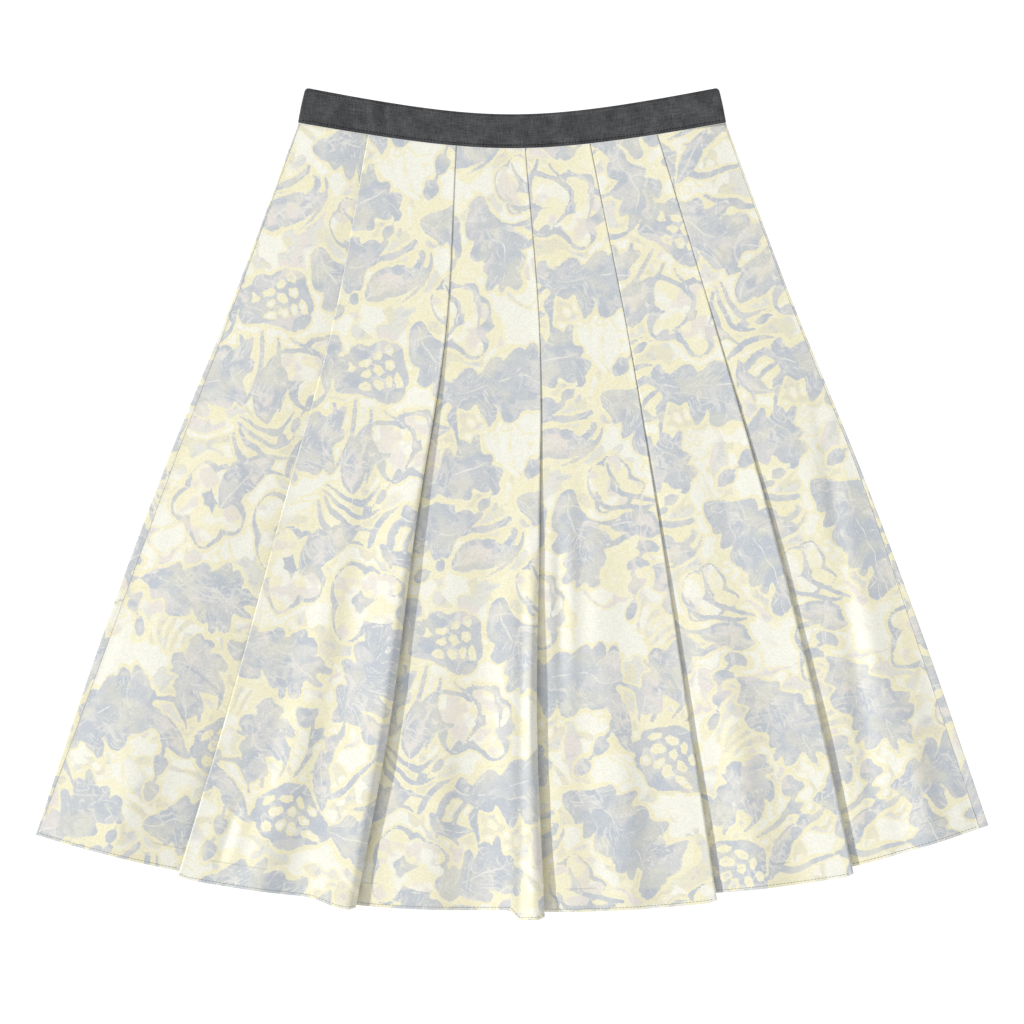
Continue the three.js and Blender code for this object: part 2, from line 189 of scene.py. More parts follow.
# What lies under the band, or creases it: x at the seam and at the top edge, width, height.
BAND_RIDGES = (
    (-170, -170, 10.0, 0.7),
    (-131, -137, 9.0, 0.7),
    (-118, -123, 5.0, 1.9),
    (-108, -113, 4.0, -0.8),
    (-54, -54, 4.0, 0.45),
    (10, 10, 3.5, 0.35),
    (82, 82, 4.5, 0.6),
    (128, 128, 4.0, 0.25),
    (-84, -84, 11.0, 0.2),
    (104, 104, 12.0, -0.2),
    (160, 160, 9.0, 0.2),
)
BAND_LINES = dict(top=3.1, bottom=2.5)  # stitching below the top edge and above the seam
BAND_GROOVE = dict(depth=0.16, width=0.7)  # its dents
BAND_STITCH = dict(share=0.62, wander=0.08, radius=0.3, seed=30)
STITCH_RISE = 0.06  # how far a stitch's middle lies above the cloth
STITCH_MARGIN = 3  # the band's stitching stops this far from its ends
NO_TRIANGLES = np.zeros((0, 3), int)

FLOOR = dict(half_side=12.0, depth=0.0002)  # metres
KEY_SOFTNESS = radians(1.6)  # how wide the key light looks

# ---------------------------------------------------------------- the print

REPEAT = (306.0, 352.0)  # the print repeats across and down, each column half a repeat lower
LEAVES = (  # x, y, turn, length, width, bend, fingers on each side
    (30, 310, 38, 92, 60, 9, 4),
    (84, 326, -28, 74, 48, -7, 4),
    (40, 252, -62, 70, 46, 7, 3),
    (206, 322, -38, 96, 58, 9, 5),
    (12, 180, -12, 90, 56, -9, 4),
    (152, 212, -76, 74, 46, 8, 4),
    (258, 172, -34, 96, 60, 10, 5),
    (150, 96, 8, 100, 60, -10, 5),
    (240, 104, 50, 66, 46, 8, 3),
    (104, 20, 24, 78, 46, -7, 4),
)
ALMONDS = (  # x, y, turn, length, width
    (128, 296, 20, 52, 21),
    (254, 288, 44, 58, 24),
    (66, 152, 56, 54, 23),
    (200, 232, 14, 50, 21),
    (22, 84, 34, 60, 25),
    (198, 62, -58, 56, 23),
    (82, 66, -30, 46, 18),
    (286, 60, 76, 44, 18),
)
SEED_HEADS = (  # x, y, turn
    (92, 226, 10),
    (246, 34, -20),
)
FLOWERS = (  # x, y, radius, petals, turn
    (112, 152, 36, 5, 10),
    (46, 28, 32, 4, 40),
    (294, 246, 34, 5, 25),
    (176, 268, 25, 4, 0),
)
BERRY_SPRIGS = (  # x, y, turn, berries, spacing, bend in degrees
    (124, 340, 60, 3, 19, 14),
    (208, 160, 100, 4, 19, -14),
    (60, 112, 12, 3, 20, 18),
    (180, 18, 60, 3, 19, 20),
    (282, 116, -70, 3, 20, 14),
    (72, 282, 20, 2, 19, -20),
)
FRONDS = (  # x, y, first turn, step, blades, distance out, length, bend
    (92, 226, 196, 21, 6, 38, 58, 10),
    (246, 34, 20, 21, 7, 38, 54, -10),
    (232, 240, 150, 18, 4, 20, 56, 9),
    (10, 134, -62, 18, 4, 18, 54, -9),
    (166, 334, 200, 20, 3, 16, 52, 8),
    (116, 120, 214, 16, 4, 30, 50, -8),
)
WAVES = (  # the drawing's sway: waves across and down one repeat, and their heights
    (3, 2, 3.2),
    (-2, 4, 2.8),
    (5, 1, 1.8),
    (1, -6, 1.6),
    (9, 4, 0.9),
    (-6, 11, 0.9),
)
UNDER = (118.0, 90.0)  # the pale drawing beneath is the same one, moved and upside down
FAR = 60.0  # a distance that counts as nowhere near
CANVAS = "printed_canvas"  # the front and the back share this material

# Where each panel is cut from the print: x and y of its middle, and how far it leans.
PRINT_CUTS = (
    (20, 120, 16.0),
    (250, 40, 11.5),
    (170, 300, 3.0),
    (60, 200, -5.5),
    (240, 90, -11.0),
    (130, 20, -16.7),
)
BACK_CUT = (40, 260, 0.0)


def linear(*rgb):
    """Scene-linear colour of a display colour given in 0 to 255."""
    share = np.array(rgb) / 255
    return tuple(np.where(share < 0.04045, share / 12.92, ((share + 0.055) / 1.055) ** 2.4))


def colour_setting(name, description, *rgb):
    """A colour setting, whose default is given as a display colour."""
    return bpy.props.FloatVectorProperty(
        name=name, description=description, default=linear(*rgb), subtype="COLOR", size=3, min=0, max=1
    )


def length_setting(name, description, millimetres):
    """A length setting, whose default is given in millimetres."""
    return bpy.props.FloatProperty(
        name=name, description=description, default=millimetres * MM, unit="LENGTH", min=0.00001
    )


def angle_setting(name, description, degrees):
    """An angle setting, whose default is given in degrees."""
    return bpy.props.FloatProperty(
        name=name, description=description, default=radians(degrees), subtype="ANGLE"
    )


def factor_setting(name, description, value):
    """A setting that scales something else."""
    return bpy.props.FloatProperty(name=name, description=description, default=value, subtype="FACTOR")


class SkirtCloth(bpy.types.PropertyGroup):
    """Sizes and colours of the printed canvas."""

    thickness: length_setting("Thickness", "Thickness of the printed canvas", 0.6)
    layer_gap: length_setting("Layer gap", "Clear space between layers that lie on each other", 0.15)
    cell: length_setting("Mesh cell", "Size of a cell of the front's mesh", 2.1)
    back_cell: length_setting("Back mesh cell", "Size of a cell of the back's mesh", 3.2)
    blue: colour_setting("Blue-grey", "Main colour of the printed leaves", 203, 206, 208)
    deep: colour_setting("Deep blue-grey", "Darker patches in the leaves", 193, 199, 206)
    dove: colour_setting("Dove grey", "Warmer patches in the leaves", 216, 216, 213)
    blush: colour_setting("Blush", "Pinkish patches in leaves and petals", 230, 224, 217)
    wash: colour_setting("Wash", "Pale grey shapes behind the leaves", 227, 226, 217)
    khaki: colour_setting("Khaki", "Pale yellowish shapes behind the leaves", 230, 226, 203)
    vein: colour_setting("Veins", "Veins and flecks left open in the leaves", 231, 230, 223)
    yellow: colour_setting("Yellow", "Rims round the leaves and yellow patches", 240, 234, 200)
    cream: colour_setting("Cream", "Light parts of the yellow ground", 243, 239, 213)
    ground: colour_setting("Ground", "Unprinted canvas", 242, 241, 229)
    # The hem thread's colour also paints the shade line along the hem allowance's crease
    thread: colour_setting("Thread", "Thread of the hem", 158, 158, 150)


class SkirtBand(bpy.types.PropertyGroup):
    """Sizes and colours of the waistband."""

    cell: length_setting("Mesh cell", "Size of a cell of the waistband's mesh", 1.6)
    warp: colour_setting("Warp", "Main yarn of the chambray", 50, 51, 53)
    weft: colour_setting("Weft", "Paler yarn of the chambray", 94, 95, 97)
    thread: colour_setting("Top thread", "Thread of the upper stitching", 118, 118, 115)
    dark_thread: colour_setting("Lower thread", "Thread of the lower stitching", 12, 12, 14)
    stitch: length_setting("Stitch", "Length of one stitch with its gap", 2.7)


class SkirtStage(bpy.types.PropertyGroup):
    """The floor, the camera and the light."""

    distance: length_setting("Camera height", "Height of the camera over the skirt", 6000)
    width: length_setting("View width", "Width of the floor that the camera sees", 897)
    shift_down: length_setting("View offset", "How far the view's middle lies below the skirt's", 7)
    sun: factor_setting("Key light", "Share of the light that comes from the key", 0.32)
    fill: factor_setting("Fill light", "Light from all round", 0.70)
    height: angle_setting("Key height", "Key light above the floor", 27)
    turn: angle_setting("Key turn", "Key light's turn from the left towards the waistband", 16)
    floor: colour_setting("Floor", "Colour of the floor", 244, 244, 244)


# ---------------------------------------------------------------- curves and small helpers


def ease(share):
    """A smooth step from 0 to 1, level at both ends."""
    s = np.clip(share, 0, 1)
    return s * s * (3 - 2 * s)


def mix(a, b, share):
    """The number share of the way from a to b."""
    return a + (b - a) * share


def along(values, share):
    """A smooth curve through equally spaced values: on each span the cubic whose slopes at
    the two ends are half the step between the neighbours on both sides."""
    v = np.asarray(values, float)
    v = np.concatenate([[2 * v[0] - v[1]], v, [2 * v[-1] - v[-2]]])
    place = np.clip(share, 0, 1) * (len(values) - 1)
    i = np.minimum(place.astype(int), len(values) - 2)
    s = place - i
    start, end = v[i + 1], v[i + 2]
    slope_in, slope_out = (end - v[i]) / 2, (v[i + 3] - start) / 2
    bend = 3 * (end - start) - 2 * slope_in - slope_out
    twist = slope_in + slope_out - 2 * (end - start)
    return start + s * (slope_in + s * (bend + s * twist))


def steps(a, b, count):
    """count numbers from just after a up to b, in equal steps, as a row for each section."""
    return mix(a, b, np.arange(1, count + 1) / count)


def arc(share, down):
    """How high an arc has come at a share of its half width, from 0 to 1: a hyperbola, which
    is bent most in its middle at the waist and is nearly a parabola at the hem."""
    bend = mix(*ARC_BEND, down)
    return (np.hypot(1, bend * share) - 1) / (np.hypot(1, bend) - 1)


def ripple(x, y, cell, seed):
    """Value noise from 0 to 1: random heights on a lattice, joined by smooth steps."""
    lattice = np.random.default_rng(seed).random((64, 64))
    u, v = x / cell, y / cell
    i, j = np.floor(u).astype(int), np.floor(v).astype(int)
    s, t = ease(u - i), ease(v - j)
    lower = mix(lattice[i % 64, j % 64], lattice[(i + 1) % 64, j % 64], s)
    upper = mix(lattice[i % 64, (j + 1) % 64], lattice[(i + 1) % 64, (j + 1) % 64], s)
    return mix(lower, upper, t)


def line_profile(x, y, start, end, width):
    """1 along the line from start to end, falling off by a Gaussian to its sides and eased
    away over the outer thirds of its length."""
    run, rise = end[0] - start[0], end[1] - start[1]
    span = np.hypot(run, rise)
    share = ((x - start[0]) * run + (y - start[1]) * rise) / span**2
    beside = ((x - start[0]) * rise - (y - start[1]) * run) / span
    return np.exp(-((beside / width) ** 2)) * ease(share * 3) * ease((1 - share) * 3)


class Sizes:
    """Everything that the skirt's sections share, at the given places down the skirt."""

    def __init__(self, down, cloth):
        self.down = down[:, None]
        self.cloth = cloth.thickness / MM
        self.step = self.cloth + cloth.layer_gap / MM
        self.tight = self.step / 2
        self.back = self.cloth / 2
        self.low = self.back + self.step
        self.mid = self.low + self.step
        self.top = self.mid + self.step
        self.half_width = along(HALF_WIDTH, self.down)
        self.seam_left = -self.half_width + along(ROLL_LEFT, self.down)
        self.seam_right = self.half_width - along(ROLL_RIGHT, self.down)
        self.sag = mix(WAIST_SAG, HEM_SAG, self.down)
        self.open = ease((self.down - STITCHED) / (1 - STITCHED))
        self.pleats = [Pleat(row, self.down, i) for i, row in enumerate(PLEATS)]

    def y(self, x, drop):
        """An arc whose ends are higher than its middle by the sag; drop hangs lower."""
        rise = self.sag * arc(x / self.half_width, self.down)
        return rise - SKIRT_LENGTH * self.down - drop * self.down**3


class Pleat:
    """A pleat's edge, underlay and lift at each section."""

    def __init__(self, row, down, number):
        self.faces = row["faces"]
        self.edge = along(row["edge"], down)
        self.underlay = mix(*row["underlay"], down)
        self.tuck = np.clip(along(row["tuck"], down), 0, 1)
        lift = np.maximum(along(row["lift"], down), 0)
        place = (down * SKIRT_LENGTH, 0 * down + 7 * number)
        sway = ripple(*place, LIFT_SWAY["cell"], LIFT_SWAY["seed"] + number) - 0.5
        self.lift = lift * (1 + LIFT_SWAY["share"] * sway)

    def rise(self, x):
        """How far the outer layer is lifted at x: nothing at the fold inside, most beside the
        edge, and down to the edge again on a parabola if it is tucked."""
        inward = (self.edge - x) * self.faces
        width = np.maximum(TUCK_WIDTH * self.lift, 0.1)
        tucked = 1 - self.tuck * np.clip(1 - inward / width, 0, 1) ** 2
        return self.lift * ease(1 - inward / (LIFT_REACH * self.underlay)) * tucked

    def bend(self, sizes):
        """Radius and x of the free edge's bend: the more it is lifted, the rounder it is."""
        radius = sizes.tight + EDGE_ROUNDING * self.lift * (1 - self.tuck)
        return radius, self.edge - self.faces * radius


def open_part(sizes, k):
    """Panel k between what its two pleats cover: from, to, and its level at both ends."""
    left = sizes.pleats[k - 1] if k > 0 else None
    right = sizes.pleats[k] if k < len(PLEATS) else None
    start, start_level, end, end_level = sizes.seam_left, sizes.low, sizes.seam_right, sizes.low
    if left:
        start = left.edge
        if left.faces < 0:
            start, start_level = left.edge + left.underlay, sizes.top
    if right:
        end = right.edge
        if right.faces > 0:
            end, end_level = right.edge - right.underlay, sizes.top
    return start, end, start_level, end_level


def own_pleats(sizes, k):
    """The pleats whose outer layer is panel k: its left one where that looks left and its
    right one where that looks right."""
    left, right = sizes.pleats[max(k - 1, 0) : k], sizes.pleats[k : k + 1]
    return [pleat for pleat in left if pleat.faces < 0] + [pleat for pleat in right if pleat.faces > 0]


def relief(sizes, k, x, room):
    """Creases, swells, the pressed lip and the hem's turned-up step, laid on panel k."""
    y = sizes.y(x, 0)
    z = np.zeros_like(x)
    for panel, start, end, width, height in CREASES:
        if panel == k:
            z += height * line_profile(x, y, start, end, width)
    swell = ripple(x + 31 * k, y * 0.6, RIPPLE["cell"], 5 + k)
    swell += 0.4 * ripple(x * 1.1, y, RIPPLE["cell"] * 0.45, 25 + k)
    z += RIPPLE["height"] * swell * (0.25 + 0.75 * sizes.open)
    z *= room
    for pleat in own_pleats(sizes, k):
        z += LIP["height"] * np.exp(-(((pleat.edge - x) / LIP["width"]) ** 2))
    above_hem = SKIRT_LENGTH * (1 - sizes.down)
    z += HEM_TURN["rise"] * ease((HEM_TURN["depth"] - above_hem) / HEM_TURN["slope"])
    z -= HEM_GROOVE["depth"] * np.exp(-(((above_hem - HEM_LINE) / HEM_GROOVE["width"]) ** 2))
    return z


def panel_height(sizes, k, x):
    """Height of panel k's middle line at x: it climbs between its levels on a smooth step,
    is crowned by a squared sine, and carries its soft folds, lifts and relief. Where a trough
    would sink into the back, it evens out on it, as an exponential."""
    start, end, start_level, end_level = open_part(sizes, k)
    share = np.clip((x - start) / (end - start), 0, 1)
    level = mix(start_level, end_level, ease(share))
    lowness = (sizes.top - level) / (sizes.top - sizes.low)
    cover, seam, left = (np.full_like(x, FAR) for _ in range(3))
    if k == 0:
        seam = x - start
    elif start_level == sizes.low:
        cover = x - start
    if k == len(PLEATS):
        seam = end - x
    elif end_level == sizes.low:
        left = np.maximum(end - x, 0)
    settle = np.minimum(ease(cover / mix(*SETTLE["width"], sizes.open)), ease(seam / SETTLE["seam"]))
    settle = np.minimum(settle, 1 - np.exp(-left / SETTLE["left"]))
    crown = np.sin(pi * share) ** 2
    z = level + lowness * SETTLE["rise"] * settle + PANEL_CROWN * sizes.open * crown
    for panel, across, width, begin, height in SOFT_FOLDS:
        if panel == k:
            middle = mix(start, end, across)
            grown = ease((sizes.down - begin) / (1 - begin))
            z += height * grown * crown * np.exp(-(((x - middle) / width) ** 2))
    room = np.minimum(ease(np.minimum(cover, seam) / LOOSE), 1 - np.exp(-left / SETTLE["left"]))
    z += relief(sizes, k, x, room)
    over, soft = z - sizes.low, np.maximum(0.5 * room, 1e-3)
    z = sizes.low + np.where(over < soft, soft * np.exp(np.minimum(over / soft, 1) - 1), over)
    for pleat in own_pleats(sizes, k):
        z += pleat.rise(x)
    return z


def panel_drop(sizes, k, x):
    """How far panel k's hem hangs below its arc at x."""
    start = sizes.pleats[k - 1].edge if k else sizes.seam_left
    end = sizes.pleats[k].edge if k < len(PLEATS) else sizes.seam_right
    panel = PANELS[k]
    share = np.clip((x - start) / (end - start), 0, 1)
    drop = mix(panel["left_drop"], panel["right_drop"], share)
    if panel["roll_width"]:
        share = (x - end) / panel["roll_width"] + 1
        drop += panel["roll_drop"] * ease(share / panel["roll_rise"])
    inward = FAR
    for pleat in own_pleats(sizes, k):
        inward = np.minimum(inward, (pleat.edge - x) * pleat.faces)
    return drop - HEM_CORNER["rise"] * ease(1 - inward / HEM_CORNER["width"])


class Line:
    """A line of cloth at every section: arrays with a row for each section and a column for
    each point across, grown a stretch at a time."""

    def __init__(self, sizes):
        self.sizes = sizes
        self.rows = len(sizes.down)
        self.parts = []

    def add(self, x, z, drop, panel, print_x=None, shown=False):
        shape = np.broadcast_shapes(np.shape(x), (self.rows, 1))
        full = [np.broadcast_to(a, shape) for a in (x, z, drop, x if print_x is None else print_x)]
        marks = [np.full(shape, panel), np.full(shape, float(shown))]
        self.parts.append(np.stack(full + marks))

    def run(self, k, start, end, cell):
        """Panel k's own cloth from start to end, in equal cells but for finer ones at both
        ends, where it comes out from under a pleat."""
        count = int(np.max(end - start) / cell) + 1
        places = np.concatenate([(0.25, 0.6), np.arange(1, count), (count - 0.6, count - 0.25, count)])
        x = mix(start, end, places / count)
        self.add(x, panel_height(self.sizes, k, x), panel_drop(self.sizes, k, x), k, shown=True)

    def turn(self, x, z, radius, quarters, drop, panel, mirror=None):
        """A round bend, from angle to angle in quarter turns."""
        angle = steps(quarters[0], quarters[1], 6) * pi / 2
        across = x + radius * np.cos(angle)
        print_x = across if mirror is None else 2 * mirror - across
        self.add(across, z + radius * np.sin(angle), drop, panel, print_x)

    def arrays(self):
        return np.concatenate(self.parts, axis=2)


def gore_line(sizes, first, last, cell):
    """The front's line of cloth through panels first to last. It runs over each panel, turns
    under at a free edge, comes back to the fold inside and goes on under the next panel. At
    both ends it stops at a fold inside a pleat or at the side seam."""
    line = Line(sizes)
    if first == 0:
        start = sizes.seam_left + SEAM_GAP / 2
        line.add(start, sizes.low, panel_drop(sizes, 0, start), 0, shown=True)
    else:
        pleat = sizes.pleats[first - 1]
        inside = pleat.edge - pleat.underlay + 2 * sizes.tight
        shares = np.linspace(0, 1, 4)
        drop = panel_drop(sizes, first, pleat.edge) - UNDERLAY_RISE * (1 - shares)
        line.add(mix(inside, pleat.edge, shares), sizes.low, drop, first)
        start = pleat.edge
    for k in range(first, last + 1):
        if k == len(PLEATS):
            line.run(k, start, sizes.seam_right - SEAM_GAP / 2, cell)
            break
        pleat = sizes.pleats[k]
        radius, edge_x = pleat.bend(sizes)
        inside = pleat.edge - pleat.faces * (pleat.underlay - sizes.tight)
        fold = dict(x=inside, z=(sizes.mid + sizes.low) / 2, radius=sizes.tight)
        edge_z = panel_height(sizes, k if pleat.faces > 0 else k + 1, edge_x) - radius
        edge = dict(x=edge_x, z=edge_z, radius=radius, mirror=pleat.edge)
        own, after = panel_drop(sizes, k, pleat.edge), panel_drop(sizes, k + 1, pleat.edge)
        inner = (after if pleat.faces > 0 else own) - UNDERLAY_RISE
        shares, few = steps(0, 1, 5), steps(0, 1, 3)
        if pleat.faces > 0:
            line.run(k, start, edge_x, cell)
            line.turn(**edge, quarters=(1, -1), drop=own, panel=k)
            x = mix(edge_x, inside, shares)
            level = mix(edge_z - radius, sizes.mid, ease(shares))
            line.add(x, level, mix(own, inner, shares), k, 2 * pleat.edge - x)
            if k < last:
                line.turn(**fold, quarters=(1, 3), drop=inner, panel=k + 1)
                line.add(mix(inside, pleat.edge, few), sizes.low, mix(inner, after, few), k + 1)
            start = pleat.edge
        else:
            line.run(k, start, pleat.edge, cell)
            line.add(mix(pleat.edge, inside, few), sizes.low, mix(own, inner, few), k)
            line.turn(**fold, quarters=(-1, 1), drop=inner, panel=k + 1)
            x = mix(inside, edge_x, shares)
            level = mix(sizes.mid, edge_z - radius, ease(shares))
            line.add(x, level, mix(inner, after, shares), k + 1, 2 * pleat.edge - x)
            line.turn(**edge, quarters=(3, 1), drop=after, panel=k + 1)
            start = edge_x
    return line.arrays()


def back_line(sizes, cell):
    """The back's line: from the top of the right side edge round underneath to the top of the
    left one. Underneath it is flat, but for a small step up at each pleat's pressed edge."""
    line = Line(sizes)
    turn = sizes.half_width - sizes.tight
    middle = (sizes.low + sizes.back) / 2
    left_drop, right_drop = PANELS[0]["left_drop"], PANELS[-1]["right_drop"]
    start, end = sizes.seam_left - SEAM_GAP / 2, sizes.seam_right + SEAM_GAP / 2
    line.add(mix(start, -turn, np.linspace(0, 1, 3)), sizes.low, left_drop, BACK_PANEL)
    line.turn(-turn, middle, sizes.tight, (1, 3), left_drop, BACK_PANEL)
    count = int(2 * np.max(turn) / cell)
    x = steps(-turn, turn, count)
    outward = ease((np.abs(x) / sizes.half_width - 0.9) / 0.1)
    drop = mix(-BACK_HEM_RISE, np.where(x < 0, left_drop, right_drop), outward)
    z = np.full_like(x, sizes.back)
    for pleat in sizes.pleats:
        beside = (x - pleat.edge) * pleat.faces
        fade = ease(1.5 - beside / BACK_STEP["fade"])
        z += BACK_STEP["height"] * ease(beside / BACK_STEP["width"] + 0.5) * fade
    line.add(x, z, drop, BACK_PANEL, shown=True)
    line.turn(turn, middle, sizes.tight, (-1, 1), right_drop, BACK_PANEL)
    line.add(steps(turn, end, 3), sizes.low, right_drop, BACK_PANEL)
    return line.arrays()[:, :, ::-1]


def thicken(sizes, x, z, drop, wall):
    """The wall's two faces: each point moved half the wall to either side of the line, along
    the mitre of the stretches before and after it. Each is (x, y, z)."""
    run, rise = np.diff(x, axis=1), np.diff(z, axis=1)
    long = np.maximum(np.hypot(run, rise), 1e-9)
    run, rise = run / long, rise / long
    in_x, in_z = np.hstack([run[:, :1], run]), np.hstack([rise[:, :1], rise])
    on_x, on_z = np.hstack([run, run[:, -1:]]), np.hstack([rise, rise[:, -1:]])
    head_x, head_z = in_x + on_x, in_z + on_z
    long = np.maximum(np.hypot(head_x, head_z), 1e-9)
    head_x, head_z = head_x / long, head_z / long
    reach = wall / 2 / np.maximum(head_x * in_x + head_z * in_z, 0.5)
    sides = []
    for way in (1, -1):
        side_x = x - way * head_z * reach
        sides.append(np.stack([side_x, sizes.y(side_x, drop), z + way * head_x * reach], axis=-1))
    return sides


# ---------------------------------------------------------------- meshes


def shell_faces(rows, columns):
    """Faces of a wall whose face has rows x columns points and whose lining has every second
    row of them. Quads cover both, and a strip of triangles joins them at the two sides."""
    face = np.arange(rows * columns).reshape(rows, columns)
    lining = face.size + np.arange((rows + 1) // 2 * columns).reshape(-1, columns)

    def quads(a, b, c, d):
        return np.stack([a.ravel(), b.ravel(), c.ravel(), d.ravel()], axis=1)

    four = [
        quads(face[:-1, :-1], face[1:, :-1], face[1:, 1:], face[:-1, 1:]),
        quads(lining[:-1, :-1], lining[:-1, 1:], lining[1:, 1:], lining[1:, :-1]),
        quads(face[0, :-1], face[0, 1:], lining[0, 1:], lining[0, :-1]),
        quads(face[-1, :-1], lining[-1, :-1], lining[-1, 1:], face[-1, 1:]),
    ]
    three = []
    for column, flip in ((0, False), (columns - 1, True)):
        upper, middle, lower = face[:-2:2, column], face[1:-1:2, column], face[2::2, column]
        inner, next_inner = lining[:-1, column], lining[1:, column]
        for corners in ((upper, inner, middle), (middle, inner, next_inner), (middle, next_inner, lower)):
            corners = corners[::-1] if flip else corners
            three.append(np.stack(corners, axis=1))
    return np.concatenate(four), np.concatenate(three)


def mesh_from(name, points, four, three, material, sharp=50):
    """A smooth mesh object from points in millimetres and arrays of quads and triangles."""
    mesh = bpy.data.meshes.new(name)
    mesh.vertices.add(len(points))
    mesh.vertices.foreach_set("co", (points * MM).astype(np.float32).ravel())
    corners = np.concatenate([four.ravel(), three.ravel()])
    sizes = np.concatenate([np.full(len(four), 4), np.full(len(three), 3)])
    mesh.loops.add(len(corners))
    mesh.loops.foreach_set("vertex_index", corners.astype(np.int32))
    mesh.polygons.add(len(sizes))
    starts = np.concatenate([[0], np.cumsum(sizes)[:-1]])
    mesh.polygons.foreach_set("loop_start", starts.astype(np.int32))
    mesh.update(calc_edges=True)
    mesh.shade_smooth()
    mesh.set_sharp_from_angle(angle=radians(sharp))
    mesh.materials.append(material)
    if mesh.validate():
        raise RuntimeError(f"{name} has faces that Blender had to drop")
    piece = bpy.data.objects.new(name, mesh)
    bpy.context.scene.collection.objects.link(piece)
    return piece


def set_values(piece, name, values):
    """A number or vector for each point of a piece, which its material reads."""
    vector = values.ndim == 2
    kind, key = ("FLOAT_VECTOR", "vector") if vector else ("FLOAT", "value")
    layer = piece.data.attributes.new(name, kind, "POINT")
    layer.data.foreach_set(key, values.astype(np.float32).ravel())


def framed(points):
    """Points about the waist seam's middle, moved to where the frame has it."""
    return points + np.array([0.0, WAIST_Y, 0.0])


def skirt_rows(cell):
    """Shares down the skirt of the mesh's rows, an odd number, finer at the hem."""
    count = int(SKIRT_LENGTH / cell / 2) * 2 - len(HEM_ROWS) + 1
    main = np.linspace(0, 1 - 2 * HEM_ROWS[-1] / SKIRT_LENGTH, count)
    near = 1 - np.array(HEM_ROWS[::-1]) / SKIRT_LENGTH
    rows = np.concatenate([main, near])
    return rows if len(rows) % 2 else np.delete(rows, count // 2)


def cloth_piece(name, sizes, table, cuts, material):
    """A wall of printed cloth on a line of cloth, with the print's distances at each point."""
    x, z, drop, print_x, panel, _ = table
    edge = np.minimum((1 - sizes.down) * SKIRT_LENGTH / HEM_EDGE["width"], 1)
    face, lining = thicken(sizes, x, z, drop, sizes.cloth * mix(HEM_EDGE["thin"], 1, ease(edge)))
    rows, columns = x.shape
    points = np.concatenate([face.reshape(-1, 3), lining[::2].reshape(-1, 3)])
    piece = mesh_from(name, framed(points), *shell_faces(rows, columns), material)

    def both(values):
        return np.concatenate([values.ravel(), values[::2].ravel()])

    at = print_places(sizes, both(print_x), both(sizes.y(print_x, drop)), both(panel).astype(int), cuts)
    for key, values in print_distances(*at).items():
        set_values(piece, key, values)
    under = print_distances(at[0] + UNDER[0], UNDER[1] - at[1])
    set_values(piece, "under", under["grey"])
    set_values(piece, "under_tone", under["tone"])
    set_values(piece, "print_at", np.stack([*at, np.zeros_like(at[0])], axis=1))
    set_values(piece, "reverse", np.concatenate([np.zeros(x.size), np.ones(lining[::2, :, 0].size)]))
    above_hem = both(np.broadcast_to((1 - sizes.down) * SKIRT_LENGTH, x.shape))
    set_values(piece, "above_hem", above_hem)
    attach(piece, "root")
    return piece


# ---------------------------------------------------------------- the print's shapes


def print_places(sizes, x, y, panel, cuts):
    """Where points lie on the flat print: turned by the panel's lean, then moved to its cut."""
    cuts = np.array(cuts)
    cut_x, cut_y, lean = cuts[np.minimum(panel, len(cuts) - 1)].T
    c, s = np.cos(np.radians(lean)), np.sin(np.radians(lean))
    return x * c + y * s + cut_x, y * c - x * s + cut_y


def from_motif(at, x, y, turn):
    """Points as seen from a motif's nearest copy, in the motif's own turned frame."""
    u, v = at[0] - x, at[1] - y
    column = np.round(u / REPEAT[0])
    u = u - column * REPEAT[0]
    v = v - column * REPEAT[1] / 2
    v = v - np.round(v / REPEAT[1]) * REPEAT[1]
    c, s = np.cos(radians(turn)), np.sin(radians(turn))
    return u * c + v * s, v * c - u * s


def sway(x, y, phase):
    """How far the drawing is pushed at each place: a sum of sines that fits the repeat."""
    push = 0.0
    for i, (m, n, height) in enumerate(WAVES):
        turns = (m - n / 2) * x / REPEAT[0] + n * y / REPEAT[1] + phase + 0.37 * i
        push = push + height * np.sin(2 * pi * turns)
    return push


def join(a, b, soft=4.0):
    """The lesser of two distances, rounded where they are alike."""
    near = np.clip(1 - np.abs(a - b) / soft, 0, 1)
    return np.minimum(a, b) - soft / 4 * near**2


def finger(u, v, start, end, radii):
    """Distance outside a tapering round-ended bar from start to end."""
    run, rise = end[0] - start[0], end[1] - start[1]
    share = np.clip(((u - start[0]) * run + (v - start[1]) * rise) / (run**2 + rise**2), 0, 1)
    return np.hypot(u - start[0] - share * run, v - start[1] - share * rise) - mix(*radii, share)


def leaf(u, v, length, width, bend, fingers):
    """Distance outside a leaf of rounded fingers, and the place across and along it. The
    midrib is a parabola. Fingers spring from it at both sides, longest in the middle."""
    s = np.clip(u / length + 0.5, 0, 1)
    across = v - bend * (4 * s * (1 - s) - 0.5)
    pitch = length / (fingers + 0.8)
    distance = finger(u, across, (-length / 2, 0), (length / 2 - 5, 0), (3, 5))
    for i in range(fingers):
        reach = width / 2 * np.sin(pi * (0.2 + 0.68 * i / fingers)) ** 0.7 - 0.3 * pitch
        for side in (1, -1):
            base = -length / 2 + pitch * (i + 0.55 + 0.2 * side)
            tip = (base + 0.7 * reach, side * reach * (0.94 + 0.12 * (i % 2)))
            distance = join(distance, finger(u, across, (base, 0), tip, (0.5 * pitch, 0.36 * pitch)))
    return distance, across, u - 0.8 * np.abs(across)


def almond(u, v, length, width):
    """Distance outside a pointed leaf, where two circles overlap."""
    radius = (length**2 + width**2) / 4 / width
    return np.hypot(u, np.abs(v) + radius - width / 2) - radius


